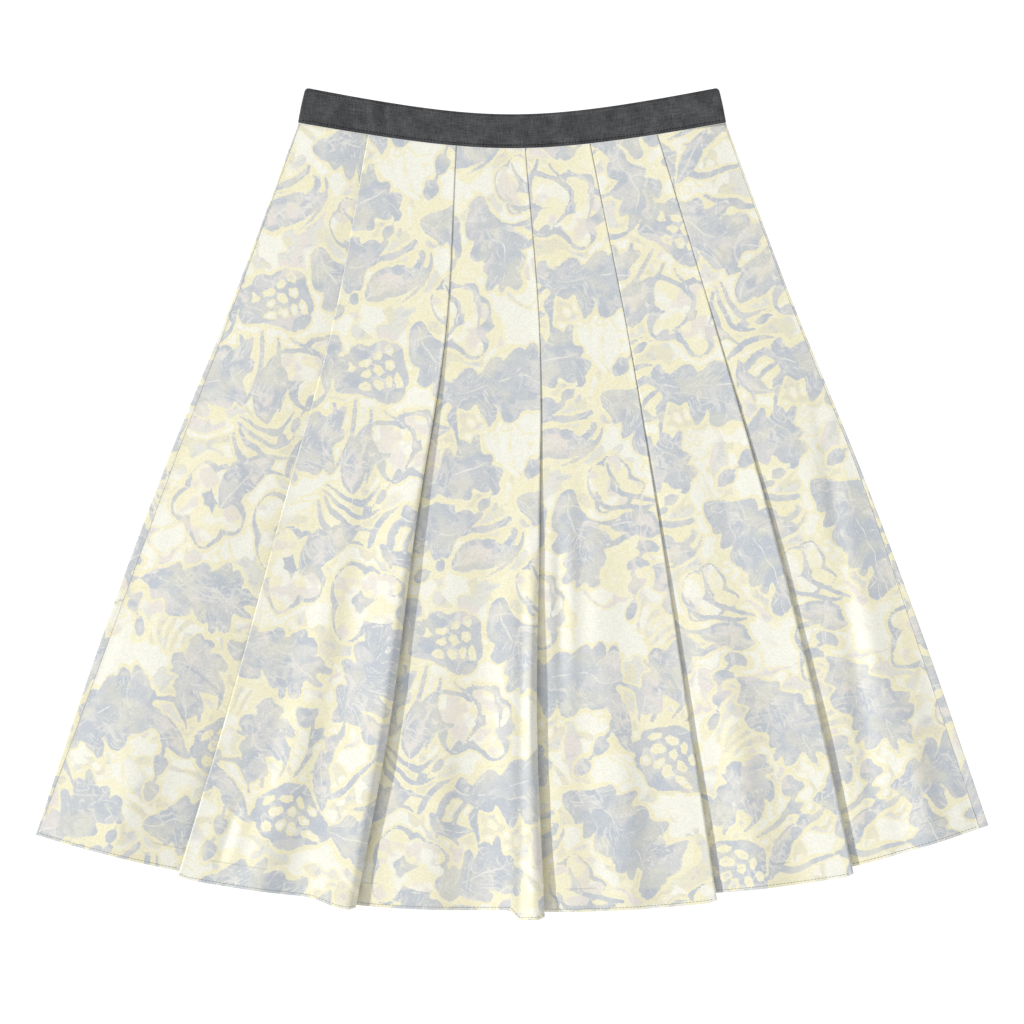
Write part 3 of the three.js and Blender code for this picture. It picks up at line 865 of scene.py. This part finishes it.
def blade(u, v, length, bend):
    """Distance outside a bent stroke that is thickest in its middle."""
    s = np.clip(u / length + 0.5, 0, 1)
    across = v - bend * (4 * s * (1 - s) - 0.5)
    return np.hypot(u - (s - 0.5) * length, across) - 1.4 - 6.0 * s * (1 - s)


def rosette(u, v, radius, lobes, notch, phase=0.0):
    """Distance outside a round shape with lobes, parted by notches."""
    lobe = np.abs(np.sin(lobes / 2 * (np.arctan2(v, u) + phase)))
    return np.hypot(u, v) - radius * (1 - notch + notch * lobe**0.6)


def petals(u, v, radius, count):
    """Distance outside the open petals of a flower: ellipses, one in each sector."""
    sector = 2 * pi / count
    angle = (np.arctan2(v, u) + sector / 2) % sector - sector / 2
    far = np.hypot(u, v)
    a, b = 0.38 * radius, 1.7 * radius / count
    reach = np.hypot((far * np.cos(angle) - 0.55 * radius) / a, far * np.sin(angle) / b)
    return (reach - 1) * min(a, b)


def stars(u, v, limit):
    """Distance outside small stars in staggered rows, up to limit from the middle."""
    row = np.round(v / 13)
    shift = row % 2 * 6.5
    x = u - shift - 13 * np.round((u - shift) / 13)
    y = v - 13 * row
    return np.where(np.hypot(u - x, v - y) < limit, rosette(x, y, 5.4, 5, 0.25, row), 9.0)


def print_distances(x, y):
    """The print at each place: distances outside the leaves and the yellow petals, the place
    across and along the nearest leaf, its tone, and how much nearer it is than the next."""
    at = (x + sway(x, y, 0.0), y + sway(x, y, 0.25))
    grey, gold, second = (np.full(x.shape, FAR) for _ in range(3))
    across, rib, tone = np.full(x.shape, FAR), np.zeros(x.shape), np.zeros(x.shape)

    def lay(distance, shade, beside=FAR, down=0.0):
        near = distance < grey
        np.copyto(second, np.where(near, grey, np.minimum(second, distance)))
        for values, new in ((tone, shade), (across, beside), (rib, down), (grey, distance)):
            values[near] = np.broadcast_to(new, x.shape)[near]

    def cut(distance, from_gold=False):
        np.maximum(grey, -distance, out=grey)
        if from_gold:
            np.minimum(gold, distance, out=gold)

    for mx, my, radius, count, turn in FLOWERS:
        u, v = from_motif(at, mx, my, turn)
        lay(rosette(u, v, radius, count, 0.2, pi / count), 0.95)
        cut(petals(u, v, radius, count), from_gold=True)
    for mx, my, turn in SEED_HEADS:
        u, v = from_motif(at, mx, my, turn)
        lay(rosette(u, v * 1.08, 34, 9, 0.1), 0.15)
        cut(stars(u, v, 25))
    for i, (mx, my, turn, *shape) in enumerate(LEAVES):
        distance, beside, down = leaf(*from_motif(at, mx, my, turn), *shape)
        lay(distance, i * 0.27 % 0.55, beside, down)
    for mx, my, turn, *shape in ALMONDS:
        u, v = from_motif(at, mx, my, turn)
        lay(almond(u, v, *shape), 0.75, v, u)
    for mx, my, first, step, count, out, long, bend in FRONDS:
        for k in range(count):
            turn = first + k * step
            far = out + long / 2
            place = (mx + far * np.cos(radians(turn)), my + far * np.sin(radians(turn)))
            lay(blade(*from_motif(at, *place, turn), long * (1 - 0.12 * (k % 2)), bend), 0.2)
    for mx, my, turn, count, spacing, bend in BERRY_SPRIGS:
        for k in range(count):
            u, v = from_motif(at, mx, my, turn)
            lay(rosette(u, v, 7.0 - 0.7 * (k % 3), 3, 0.1), 0.3)
            if k < count - 1:
                lay(finger(u, v, (5, 0), (spacing - 5, 0), (1.2, 1.2)), 0.2)
            mx, my = mx + spacing * np.cos(radians(turn)), my + spacing * np.sin(radians(turn))
            turn += bend
    return {"grey": grey, "gold": gold, "across": across, "rib": rib, "tone": tone, "apart": second - grey}


# ---------------------------------------------------------------- materials


class Tree:
    """A material's nodes, written as nested calls."""

    def __init__(self, name):
        self.material = bpy.data.materials.new(name)
        self.material.use_nodes = True
        self.nodes = self.material.node_tree.nodes
        self.nodes.clear()

    def join(self, value, socket):
        if isinstance(value, bpy.types.NodeSocket):
            self.material.node_tree.links.new(value, socket)
        elif socket.type == "RGBA":
            socket.default_value = (*value, 1)
        else:
            socket.default_value = value

    def add(self, kind, inputs, **settings):
        node = self.nodes.new("ShaderNode" + kind)
        for key, value in settings.items():
            setattr(node, key, value)
        for key, value in inputs.items():
            self.join(value, node.inputs[key])
        return node

    def read(self, name, output="Fac"):
        return self.add("Attribute", {}, attribute_name=name).outputs[output]

    def math(self, operation, a, b=0.0, c=0.0):
        return self.add("Math", {0: a, 1: b, 2: c}, operation=operation).outputs[0]

    def times(self, a, b):
        return self.math("MULTIPLY", a, b)

    def times_plus(self, a, b, c):
        return self.math("MULTIPLY_ADD", a, b, c)

    def absolute(self, value):
        return self.math("ABSOLUTE", value)

    def ramp(self, value, low, high, to_low=0.0, to_high=1.0):
        """A smooth step of value from low to high."""
        if low > high:
            low, high, to_low, to_high = high, low, to_high, to_low
        inputs = {"Value": value, "From Min": low, "From Max": high, "To Min": to_low, "To Max": to_high}
        return self.add("MapRange", inputs, interpolation_type="SMOOTHSTEP").outputs["Result"]

    def mix(self, share, a, b, blend="MIX"):
        node = self.add("Mix", {}, data_type="RGBA", blend_type=blend)
        for value, socket in zip((share, a, b), (node.inputs[0], node.inputs[6], node.inputs[7])):
            self.join(value, socket)
        return node.outputs[2]

    def noise(self, at, size, detail=1.0, stretch=None, seed=0.0):
        """Noise about nought, of the given feature size in the units of at."""
        if stretch or seed:
            offset = (seed * 37.3, seed * 17.9, seed * 5.1)
            inputs = {"Vector": at, "Location": offset, "Scale": stretch or (1, 1, 1)}
            at = self.add("Mapping", inputs).outputs[0]
        inputs = {"Vector": at, "Scale": 1 / size, "Detail": detail}
        return self.math("SUBTRACT", self.add("TexNoise", inputs).outputs["Fac"], 0.5)

    def finish(self, colour, roughness, height, bump, **sockets):
        bumped = self.add("Bump", {"Height": height, "Strength": bump, "Distance": MM})
        inputs = {"Base Color": colour, "Roughness": roughness, "Normal": bumped.outputs[0]}
        inputs.update({key.replace("_", " "): value for key, value in sockets.items()})
        shader = self.add("BsdfPrincipled", inputs)
        self.add("OutputMaterial", {"Surface": shader.outputs[0]})
        return self.material


def printed_canvas(cloth):
    """Printed canvas. Distances to the leaves are roughened by noise, then coloured in bands:
    blue-grey inside, a yellow rim, and cream, pale khaki shapes or bare ground farther out."""
    t = Tree(CANVAS)
    at = t.read("print_at", "Vector")

    def patches(size, low, high, seed, detail=1.0, top=1.0):
        return t.ramp(t.noise(at, size, detail, seed=seed), low, high, 0.0, top)

    grey = t.times_plus(t.noise(at, 6), 2.4, t.read("grey"))
    grey = t.times_plus(t.noise(at, 2.4, seed=2), 1.6, grey)
    gold = t.times_plus(t.noise(at, 8, seed=5), 4.0, t.read("gold"))

    half_yellow = t.mix(0.5, cloth.cream, cloth.yellow)
    cream = t.mix(patches(15, -0.1, 0.14, 4), half_yellow, cloth.cream)
    creamy = t.times(patches(34, 0.1, 0.22, 6), t.ramp(grey, 14.0, 7.0))
    bare = t.mix(creamy, cloth.ground, cloth.cream)

    under = t.times_plus(t.noise(at, 5, seed=31), 3.0, t.read("under"))
    shade = t.times_plus(t.noise(at, 24, seed=22), 2.2, t.read("under_tone"))
    pale = t.mix(t.ramp(shade, 0.36, 0.46), cloth.khaki, cloth.wash)
    pale = t.mix(t.ramp(shade, 0.7, 0.8), pale, cloth.blush)
    pale = t.mix(patches(9, 0.08, 0.14, 23, top=0.8), pale, cloth.dove)
    shown = t.times(t.ramp(under, 0.5, -0.5), patches(48, -0.1, -0.02, 32, top=0.95))
    halo = t.ramp(t.absolute(t.math("SUBTRACT", under, 1.0)), 1.5, 0.7)
    behind = t.mix(t.times(halo, patches(40, -0.1, 0.0, 33)), bare, half_yellow)
    behind = t.mix(shown, behind, pale)

    rim = t.math("ADD", patches(17, -0.12, 0.12, 3, top=2.6), patches(50, 0.06, 0.16, 21, top=9.0))
    rim = t.math("ADD", rim, 1.2)
    outside = t.mix(t.ramp(t.math("SUBTRACT", grey, rim), -0.6, 0.6), cream, behind)
    far = t.math("SUBTRACT", t.times_plus(rim, -0.4, grey), 0.6)
    outside = t.mix(t.ramp(t.absolute(far), 1.3, 0.5, 0.0, 0.8), outside, cloth.yellow)

    tone = t.times_plus(t.noise(at, 20, seed=7), 1.6, t.read("tone"))
    inside = t.mix(t.ramp(tone, 0.25, 0.55), cloth.blue, cloth.dove)
    inside = t.mix(t.ramp(tone, 0.62, 0.85), inside, cloth.blush)
    border = t.times(t.ramp(grey, -4.4, -2.2), t.ramp(tone, 0.4, 0.6))
    inside = t.mix(border, inside, cloth.blue)
    inside = t.mix(patches(12, -0.02, 0.14, 8, top=0.85), inside, cloth.deep)
    lap = t.mix(t.ramp(shade, 0.25, 0.4), cloth.deep, cloth.dove)
    lap = t.mix(t.ramp(shade, 0.75, 0.85), lap, cloth.blush)
    lapped = t.times(t.ramp(under, 0.4, -0.4), patches(30, -0.12, -0.02, 34, top=0.75))
    inside = t.mix(lapped, inside, lap)
    lap_line = t.times(t.ramp(t.absolute(under), 1.0, 0.4), patches(20, -0.06, 0.06, 35))
    along_leaf = {"X": t.times(t.read("across"), 0.3), "Y": t.read("rib")}
    brush = t.noise(t.add("CombineXYZ", along_leaf).outputs[0], 2.2, seed=12)
    brushed = t.times(t.ramp(brush, 0.03, 0.13, 0.0, 0.7), patches(22, -0.06, 0.1, 11))
    midrib = t.ramp(t.absolute(t.read("across")), 0.8, 0.3)
    midrib = t.times(midrib, patches(14, -0.1, 0.06, 10))
    parted = t.times(t.ramp(t.read("apart"), 1.5, 0.5), t.ramp(grey, -0.8, -2.0))
    rubbed = t.times(patches(1.7, 0.1, 0.2, 24, top=0.8), patches(18, -0.04, 0.12, 25))
    drawn = t.math("MAXIMUM", t.math("MAXIMUM", brushed, midrib), t.math("MAXIMUM", parted, rubbed))
    drawn = t.math("MAXIMUM", drawn, t.times(lap_line, 0.7))
    inside = t.mix(drawn, inside, cloth.vein)
    inside = t.mix(patches(26, 0.0, 0.15, 26, top=0.35), inside, cloth.khaki)

    print_colour = t.mix(t.ramp(grey, 0.5, -0.5), outside, inside)
    petal = t.mix(patches(15, -0.04, 0.12, 14), half_yellow, cloth.ground)
    petal = t.mix(patches(16, 0.0, 0.1, 27, top=0.8), petal, cloth.blush)
    in_petal = t.times(t.ramp(gold, 0.5, -0.5), t.ramp(grey, -0.6, 0.6))
    print_colour = t.mix(in_petal, print_colour, petal)
    print_colour = t.mix(t.times(t.read("reverse"), 0.55), print_colour, cloth.ground)

    # Painted shade: a faint dark line in the hem thread's colour, in patches, along the crease of the
    # turned-up hem allowance's edge
    from_line = t.absolute(t.math("SUBTRACT", t.read("above_hem"), HEM_TURN["depth"]))
    hem_crease_shade = t.times(t.ramp(from_line, 0.9, 0.3, 0.0, 0.3), patches(45, 0.02, 0.08, 28))
    print_colour = t.mix(hem_crease_shade, print_colour, cloth.thread)
    warp = t.noise(at, 0.7, detail=0, stretch=(1, 0.3, 1), seed=15)
    weft = t.noise(at, 0.7, detail=0, stretch=(0.3, 1, 1), seed=16)
    fleck = t.noise(at, 0.8, seed=17)
    weave = t.math("ADD", t.math("ADD", warp, weft), t.times(fleck, 1.2))
    grain = t.ramp(weave, -0.45, 0.45, 0.94, 1.05)
    tint = t.add("CombineColor", {"Red": grain, "Green": grain, "Blue": grain}).outputs[0]
    print_colour = t.mix(1.0, print_colour, tint, "MULTIPLY")
    crumple = t.times_plus(t.noise(at, 16, detail=2, seed=18), 0.7, t.times(weave, 0.06))
    return t.finish(print_colour, 0.95, crumple, 0.4, Sheen_Weight=0.03, Specular_IOR_Level=0.12)


def chambray(band):
    """Melange chambray: noise drawn out along the warp and along the weft, woven together, with painted
    shade along the band's edges.
    """
    t = Tree("melange_chambray")
    at = t.read("cloth_at", "Vector")
    warp = t.noise(at, 0.75, detail=1, stretch=(1, 0.09, 1), seed=1)
    weft = t.noise(at, 0.75, detail=1, stretch=(0.09, 1, 1), seed=2)
    cloud = t.noise(at, 16, detail=2, seed=3)
    fleck = t.noise(at, 0.9, detail=1, seed=4)
    yarn = t.math("ADD", t.math("ADD", warp, weft), t.times_plus(cloud, 0.5, fleck))
    base = t.mix(t.ramp(yarn, -0.62, 0.8), band.warp, band.weft)
    # Painted shade: the colour is darkened by up to a fifth within 2.6 mm of the band's folded top edge
    # and its seam, where shade falls; cloudy blotches of tone vary it too
    edge_shade_and_blotches = t.times(t.ramp(t.read("edge"), 0.2, 2.6, 0.8, 1.0), t.ramp(cloud, -0.25, 0.25, 0.86, 1.14))
    tint = t.add("CombineColor", {"Red": edge_shade_and_blotches, "Green": edge_shade_and_blotches, "Blue": edge_shade_and_blotches}).outputs[0]
    height = t.times_plus(cloud, 1.2, t.times(yarn, 0.2))
    tone = t.mix(1.0, base, tint, "MULTIPLY")
    return t.finish(tone, 0.9, height, 0.6, Sheen_Weight=0.08, Specular_IOR_Level=0.25)


def thread(name, shade):
    """Sewing thread: two plies, seen as slanting bands along each stitch."""
    t = Tree(name)
    at = t.add("TexCoord", {}).outputs["Object"]
    ply = t.add("TexWave", {"Vector": at, "Scale": 900.0, "Distortion": 1.5}, bands_direction="DIAGONAL")
    # Painted shade: the thread is up to 30% darker where the ply bands are low, in the grooves between the
    # plies
    tone = t.mix(ply.outputs["Fac"], tuple(0.7 * x for x in shade), shade)
    return t.finish(tone, 0.8, ply.outputs["Fac"], 0.3, Specular_IOR_Level=0.1)


def pale_floor(shade):
    """A pale floor that gives some light of its own, so that shadows on it stay faint."""
    t = Tree("pale_floor")
    at = t.add("TexCoord", {}).outputs["Object"]
    cloudy = t.ramp(t.noise(at, 0.5, detail=2), -0.3, 0.3, 0.0, 0.04)
    tone = t.mix(cloudy, tuple(0.5 * x for x in shade), tuple(0.55 * x for x in shade))
    glow = dict(Emission_Color=shade, Emission_Strength=0.88)
    return t.finish(tone, 0.9, cloudy, 0.0, **glow, Specular_IOR_Level=0.0)


# ---------------------------------------------------------------- stitching


def capsules(starts, ends, radius):
    """Joined stitches: each is a six-sided tube with pinched ends, from start to end, arched
    over the cloth. Arrays of points and quads."""
    count, rings, sides = len(starts), 4, 6
    share = np.array([0.0, 0.25, 0.75, 1.0])
    girth = radius * np.array([0.45, 1.0, 1.0, 0.45])
    rise = np.array([-0.5, 0.6, 0.6, -0.5]) * radius
    middle = mix(starts[:, None], ends[:, None], share[None, :, None])
    middle[..., 2] += rise
    way = ends - starts
    way /= np.linalg.norm(way, axis=1, keepdims=True)
    side = np.cross(way, [0.0, 0.0, 1.0])
    side /= np.linalg.norm(side, axis=1, keepdims=True)
    over = np.cross(side, way)
    angle = np.arange(sides) * 2 * pi / sides
    ring = side[:, None, None] * np.cos(angle)[:, None] + over[:, None, None] * np.sin(angle)[:, None]
    points = middle[:, :, None] + ring * girth[None, :, None, None]
    index = np.arange(count * rings * sides).reshape(count, rings, sides)
    onward = np.roll(index, -1, axis=2)
    walls = np.stack([index[:, :-1], onward[:, :-1], onward[:, 1:], index[:, 1:]], axis=-1)
    caps = [index[:, 0][:, order] for order in ((0, 5, 4, 3), (0, 3, 2, 1))]
    caps += [index[:, -1][:, order] for order in ((0, 1, 2, 3), (0, 3, 4, 5))]
    return points.reshape(-1, 3), np.concatenate([walls.reshape(-1, 4), *caps])


def stitch_row(path, pitch, share, wander, seed):
    """Starts and ends of stitches along a path of points, pitch apart, each share of it long."""
    gone = np.concatenate([[0], np.cumsum(np.linalg.norm(np.diff(path, axis=0), axis=1))])
    count = int(gone[-1] / pitch)
    begin = (np.arange(count) + 0.5 - share / 2) * pitch
    random = np.random.default_rng(seed)

    def place(distance):
        return np.stack([np.interp(distance, gone, path[:, i]) for i in range(3)], axis=1)

    starts, ends = place(begin), place(begin + share * pitch)
    sway = random.uniform(-wander, wander, (2, count))
    starts[:, 1] += sway[0]
    ends[:, 1] += sway[1]
    return starts, ends


def stitches(name, rows, radius, material):
    """One mesh of all the stitches of the given rows of starts and ends."""
    starts = np.concatenate([row[0] for row in rows])
    ends = np.concatenate([row[1] for row in rows])
    points, quads = capsules(starts, ends, radius)
    piece = mesh_from(name, framed(points), quads, NO_TRIANGLES, material)
    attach(piece, "root")


# ---------------------------------------------------------------- operators


class SKIRT_OT_front(bpy.types.Operator):
    """Make the pleated front in three stretches, parted inside the pleats"""

    bl_idname = "skirt.front"
    bl_label = "Pleated front"

    def execute(self, context):
        cloth = context.scene.skirt_cloth
        material = printed_canvas(cloth)
        sizes = Sizes(skirt_rows(cloth.cell / MM), cloth)
        for name, (first, last) in zip(("left", "middle", "right"), GORES):
            table = gore_line(sizes, first, last, cloth.cell / MM)
            piece = cloth_piece(f"skirt_front_{name}", sizes, table, PRINT_CUTS, material)
            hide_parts("skirt_front")
        return {"FINISHED"}


class SKIRT_OT_back(bpy.types.Operator):
    """Make the back, which lies flat and rolls up over both side edges"""

    bl_idname = "skirt.back"
    bl_label = "Back"

    def execute(self, context):
        cloth = context.scene.skirt_cloth
        material = bpy.data.materials[CANVAS]
        sizes = Sizes(skirt_rows(cloth.back_cell / MM), cloth)
        table = back_line(sizes, cloth.back_cell / MM)
        piece = cloth_piece("skirt_back_cloth", sizes, table, [BACK_CUT], material)
        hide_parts("skirt_back")
        return {"FINISHED"}


class SKIRT_OT_waistband(bpy.types.Operator):
    """Make the waistband, one doubled band all the way round"""

    bl_idname = "skirt.waistband"
    bl_label = "Waistband"

    def execute(self, context):
        band = context.scene.skirt_band
        points, profile, loop = band_points(band.cell / MM)
        index = np.arange(len(points)).reshape(profile, loop)
        across, up = np.roll(index, -1, axis=1), np.roll(index, -1, axis=0)
        both = np.roll(across, -1, axis=0)
        quads = np.stack([index, across, both, up], axis=-1).reshape(-1, 4)
        material = chambray(band)
        piece = mesh_from("waistband_cloth", framed(points), quads, NO_TRIANGLES, material, 60)
        height = points[:, 1] - WAIST_SAG * arc(points[:, 0] / HALF_WIDTH[0], 0)
        set_values(piece, "cloth_at", np.stack([points[:, 0], height, points[:, 2]], axis=1))
        # distance from the band's edges, which its material reads to paint shade along them
        set_values(piece, "edge", np.minimum(height - BAND_UP[0], BAND_UP[-1] - height))
        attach(piece, "root")
        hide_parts("waistband")
        return {"FINISHED"}


def band_points(cell):
    """The waistband's points: a flat loop of cloth, doubled. Its section is a long stadium,
    up the outside, round the top fold, down the inside and round the lower fold. The loop
    goes along the front, round the right fold, back along the rear and round the left fold.
    The top fold comes down towards both corners, as a quarter circle."""
    tall = BAND_TALL
    climb = np.linspace(0, 1, int(tall / cell))
    half_turn = np.linspace(0, pi, 6)[1:-1]
    fold = BAND_WALL / 2
    wall, round_fold = fold + climb * (tall - 2 * fold), fold * np.sin(half_turn)
    up = np.concatenate([wall, tall - fold + round_fold, wall[::-1], fold - round_fold])
    outside = np.ones(len(climb))
    out = np.concatenate([outside, np.cos(half_turn), -outside, -np.cos(half_turn)])
    up, out = up[:, None], out[:, None] * fold
    radius = (BAND_HIGH - BAND_LOW) / 2
    middle = (BAND_HIGH + BAND_LOW) / 2
    count = int(2 * BAND_HALF[0] / cell)
    flat, turn = np.linspace(-1, 1, count), np.linspace(pi / 2, -pi / 2, 8)[1:-1]
    side = np.concatenate([flat, np.ones(6), -flat, -np.ones(6)])
    bulge = np.concatenate([0 * flat, np.cos(turn), 0 * flat, -np.cos(turn[::-1])])
    level = np.concatenate([0 * flat + 1, np.sin(turn), 0 * flat - 1, np.sin(turn[::-1])])
    half = along(BAND_HALF, up / tall)
    climbed = np.clip(up - tall + BAND_CORNER, 0, None)
    corner = BAND_CORNER - np.sqrt(np.clip(BAND_CORNER**2 - climbed**2, 0, None))
    reach = half - radius - corner
    x = reach * side + (radius + out) * bulge
    z = middle + (radius + out) * level
    front = (level > 0.99) & (np.abs(side) < 1)
    z += np.where(front, band_relief(x, up), 0)
    points = np.stack([x, band_y(x, up), z], axis=-1)
    return points.reshape(-1, 3), *x.shape


def band_y(x, up):
    """y of a place on the waistband, up above its lower edge."""
    return mix(WAIST_SAG, BAND_SAG, up / BAND_TALL) * arc(x / HALF_WIDTH[0], 0) + BAND_UP[0] + up


def band_relief(x, up):
    """How far the waistband's front stands up at a place: ridges, low swells and the dents of
    its two rows of stitching, all level with the folds at the edges."""
    z = 0.5 * (ripple(x, up * 1.5, 21, 3) - 0.5) * ease(up / 4) * ease((BAND_TALL - up) / 4)
    for at_seam, at_top, width, height in BAND_RIDGES:
        beside = x - mix(at_seam, at_top, up / BAND_TALL)
        z += height * np.exp(-((beside / width) ** 2)) * ease(up / 3) * ease((BAND_TALL - up) / 5)
    for line in (BAND_LINES["bottom"], BAND_TALL - BAND_LINES["top"]):
        z -= BAND_GROOVE["depth"] * np.exp(-(((up - line) / BAND_GROOVE["width"]) ** 2))
    return z


class SKIRT_OT_stitching(bpy.types.Operator):
    """Sew the hem and the two edges of the waistband"""

    bl_idname = "skirt.stitching"
    bl_label = "Stitching"

    def execute(self, context):
        cloth, band = context.scene.skirt_cloth, context.scene.skirt_band
        sizes = Sizes(np.array([1 - HEM_LINE / SKIRT_LENGTH]), cloth)
        rows = []
        pitch, share, wander, radius = HEM_STITCH.values()
        for first, last in GORES:
            x, z, drop, _, panel, shown = gore_line(sizes, first, last, 1.0)
            face, _ = thicken(sizes, x, z, drop, sizes.cloth)
            for k in range(first, last + 1):
                path = face[0][(panel[0] == k) & (shown[0] > 0)]
                rows.append(stitch_row(path, pitch, share, wander, 10 + k))
        material = thread("canvas_thread", cloth.thread)
        stitches("hem_stitching", rows, radius, material)
        share, wander, radius, seed = BAND_STITCH.values()
        for name, up, half, shade in (
            ("band_top_stitching", BAND_TALL - BAND_LINES["top"], BAND_HALF[2], band.thread),
            ("band_lower_stitching", BAND_LINES["bottom"], BAND_HALF[0], band.dark_thread),
        ):
            x = np.linspace(STITCH_MARGIN - half, half - STITCH_MARGIN, 400)
            z = BAND_HIGH + BAND_WALL / 2 + band_relief(x, np.full_like(x, up)) + STITCH_RISE
            path = np.stack([x, band_y(x, up), z], axis=1)
            row = stitch_row(path, band.stitch / MM, share, wander, seed)
            stitches(name, [row], radius, thread(name + "_thread", shade))
        return {"FINISHED"}


class SKIRT_OT_stage(bpy.types.Operator):
    """Lay a pale floor and set the camera and the light"""

    bl_idname = "skirt.stage"
    bl_label = "Floor, camera and light"

    def execute(self, context):
        stage = context.scene.skirt_stage
        side, level = FLOOR["half_side"], -FLOOR["depth"]
        corners = [(-side, -side, level), (side, -side, level), (side, side, level), (-side, side, level)]
        mesh = bpy.data.meshes.new("floor")
        mesh.from_pydata(corners, [], [(0, 1, 2, 3)])
        mesh.materials.append(pale_floor(tuple(stage.floor)))
        floor = bpy.data.objects.new("floor", mesh)
        context.scene.collection.objects.link(floor)

        camera = bpy.data.objects.new("camera", bpy.data.cameras.new("camera"))
        camera.data.lens = camera.data.sensor_width * stage.distance / stage.width
        camera.data.clip_end = 100
        camera.location = (0, -stage.shift_down, stage.distance)
        context.scene.collection.objects.link(camera)
        context.scene.camera = camera

        sun = bpy.data.lights.new("key", "SUN")
        sun.energy = stage.sun * pi / np.sin(stage.height)
        sun.angle = KEY_SOFTNESS
        key = bpy.data.objects.new("key", sun)
        key.rotation_euler = (0, stage.height - pi / 2, -stage.turn)
        context.scene.collection.objects.link(key)

        world = bpy.data.worlds.new("studio")
        world.use_nodes = True
        sky = world.node_tree.nodes["Background"].inputs
        sky["Color"].default_value = (1, 1, 1, 1)
        sky["Strength"].default_value = stage.fill
        context.scene.world = world
        context.scene.view_settings.view_transform = "Standard"
        return {"FINISHED"}


class SKIRT_PT_sidebar(bpy.types.Panel):
    """Lists the skirt's settings and the steps that make it"""

    bl_idname = "SKIRT_PT_sidebar"
    bl_label = "Pleated Midi Skirt"
    bl_space_type = "VIEW_3D"
    bl_region_type = "UI"
    bl_category = "Skirt"

    def draw(self, context):
        for group in (context.scene.skirt_cloth, context.scene.skirt_band, context.scene.skirt_stage):
            box = self.layout.box()
            for key in type(group).__annotations__:
                box.prop(group, key)
        for step in STEPS:
            self.layout.operator(step.bl_idname)


STEPS = (SKIRT_OT_stage, SKIRT_OT_front, SKIRT_OT_back, SKIRT_OT_waistband, SKIRT_OT_stitching)
CLASSES = (SkirtCloth, SkirtBand, SkirtStage, *STEPS, SKIRT_PT_sidebar)
GROUPS = {"skirt_cloth": SkirtCloth, "skirt_band": SkirtBand, "skirt_stage": SkirtStage}


def register():
    for cls in CLASSES:
        bpy.utils.register_class(cls)
    for name, group in GROUPS.items():
        setattr(bpy.types.Scene, name, bpy.props.PointerProperty(type=group))


def unregister():
    for name in GROUPS:
        delattr(bpy.types.Scene, name)
    for cls in reversed(CLASSES):
        bpy.utils.unregister_class(cls)


def main():
    register()
    bpy.ops.skirt.stage()
    bpy.ops.skirt.front()
    bpy.ops.skirt.back()
    bpy.ops.skirt.waistband()
    bpy.ops.skirt.stitching()
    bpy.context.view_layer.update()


if __name__ == "__main__":
    main()
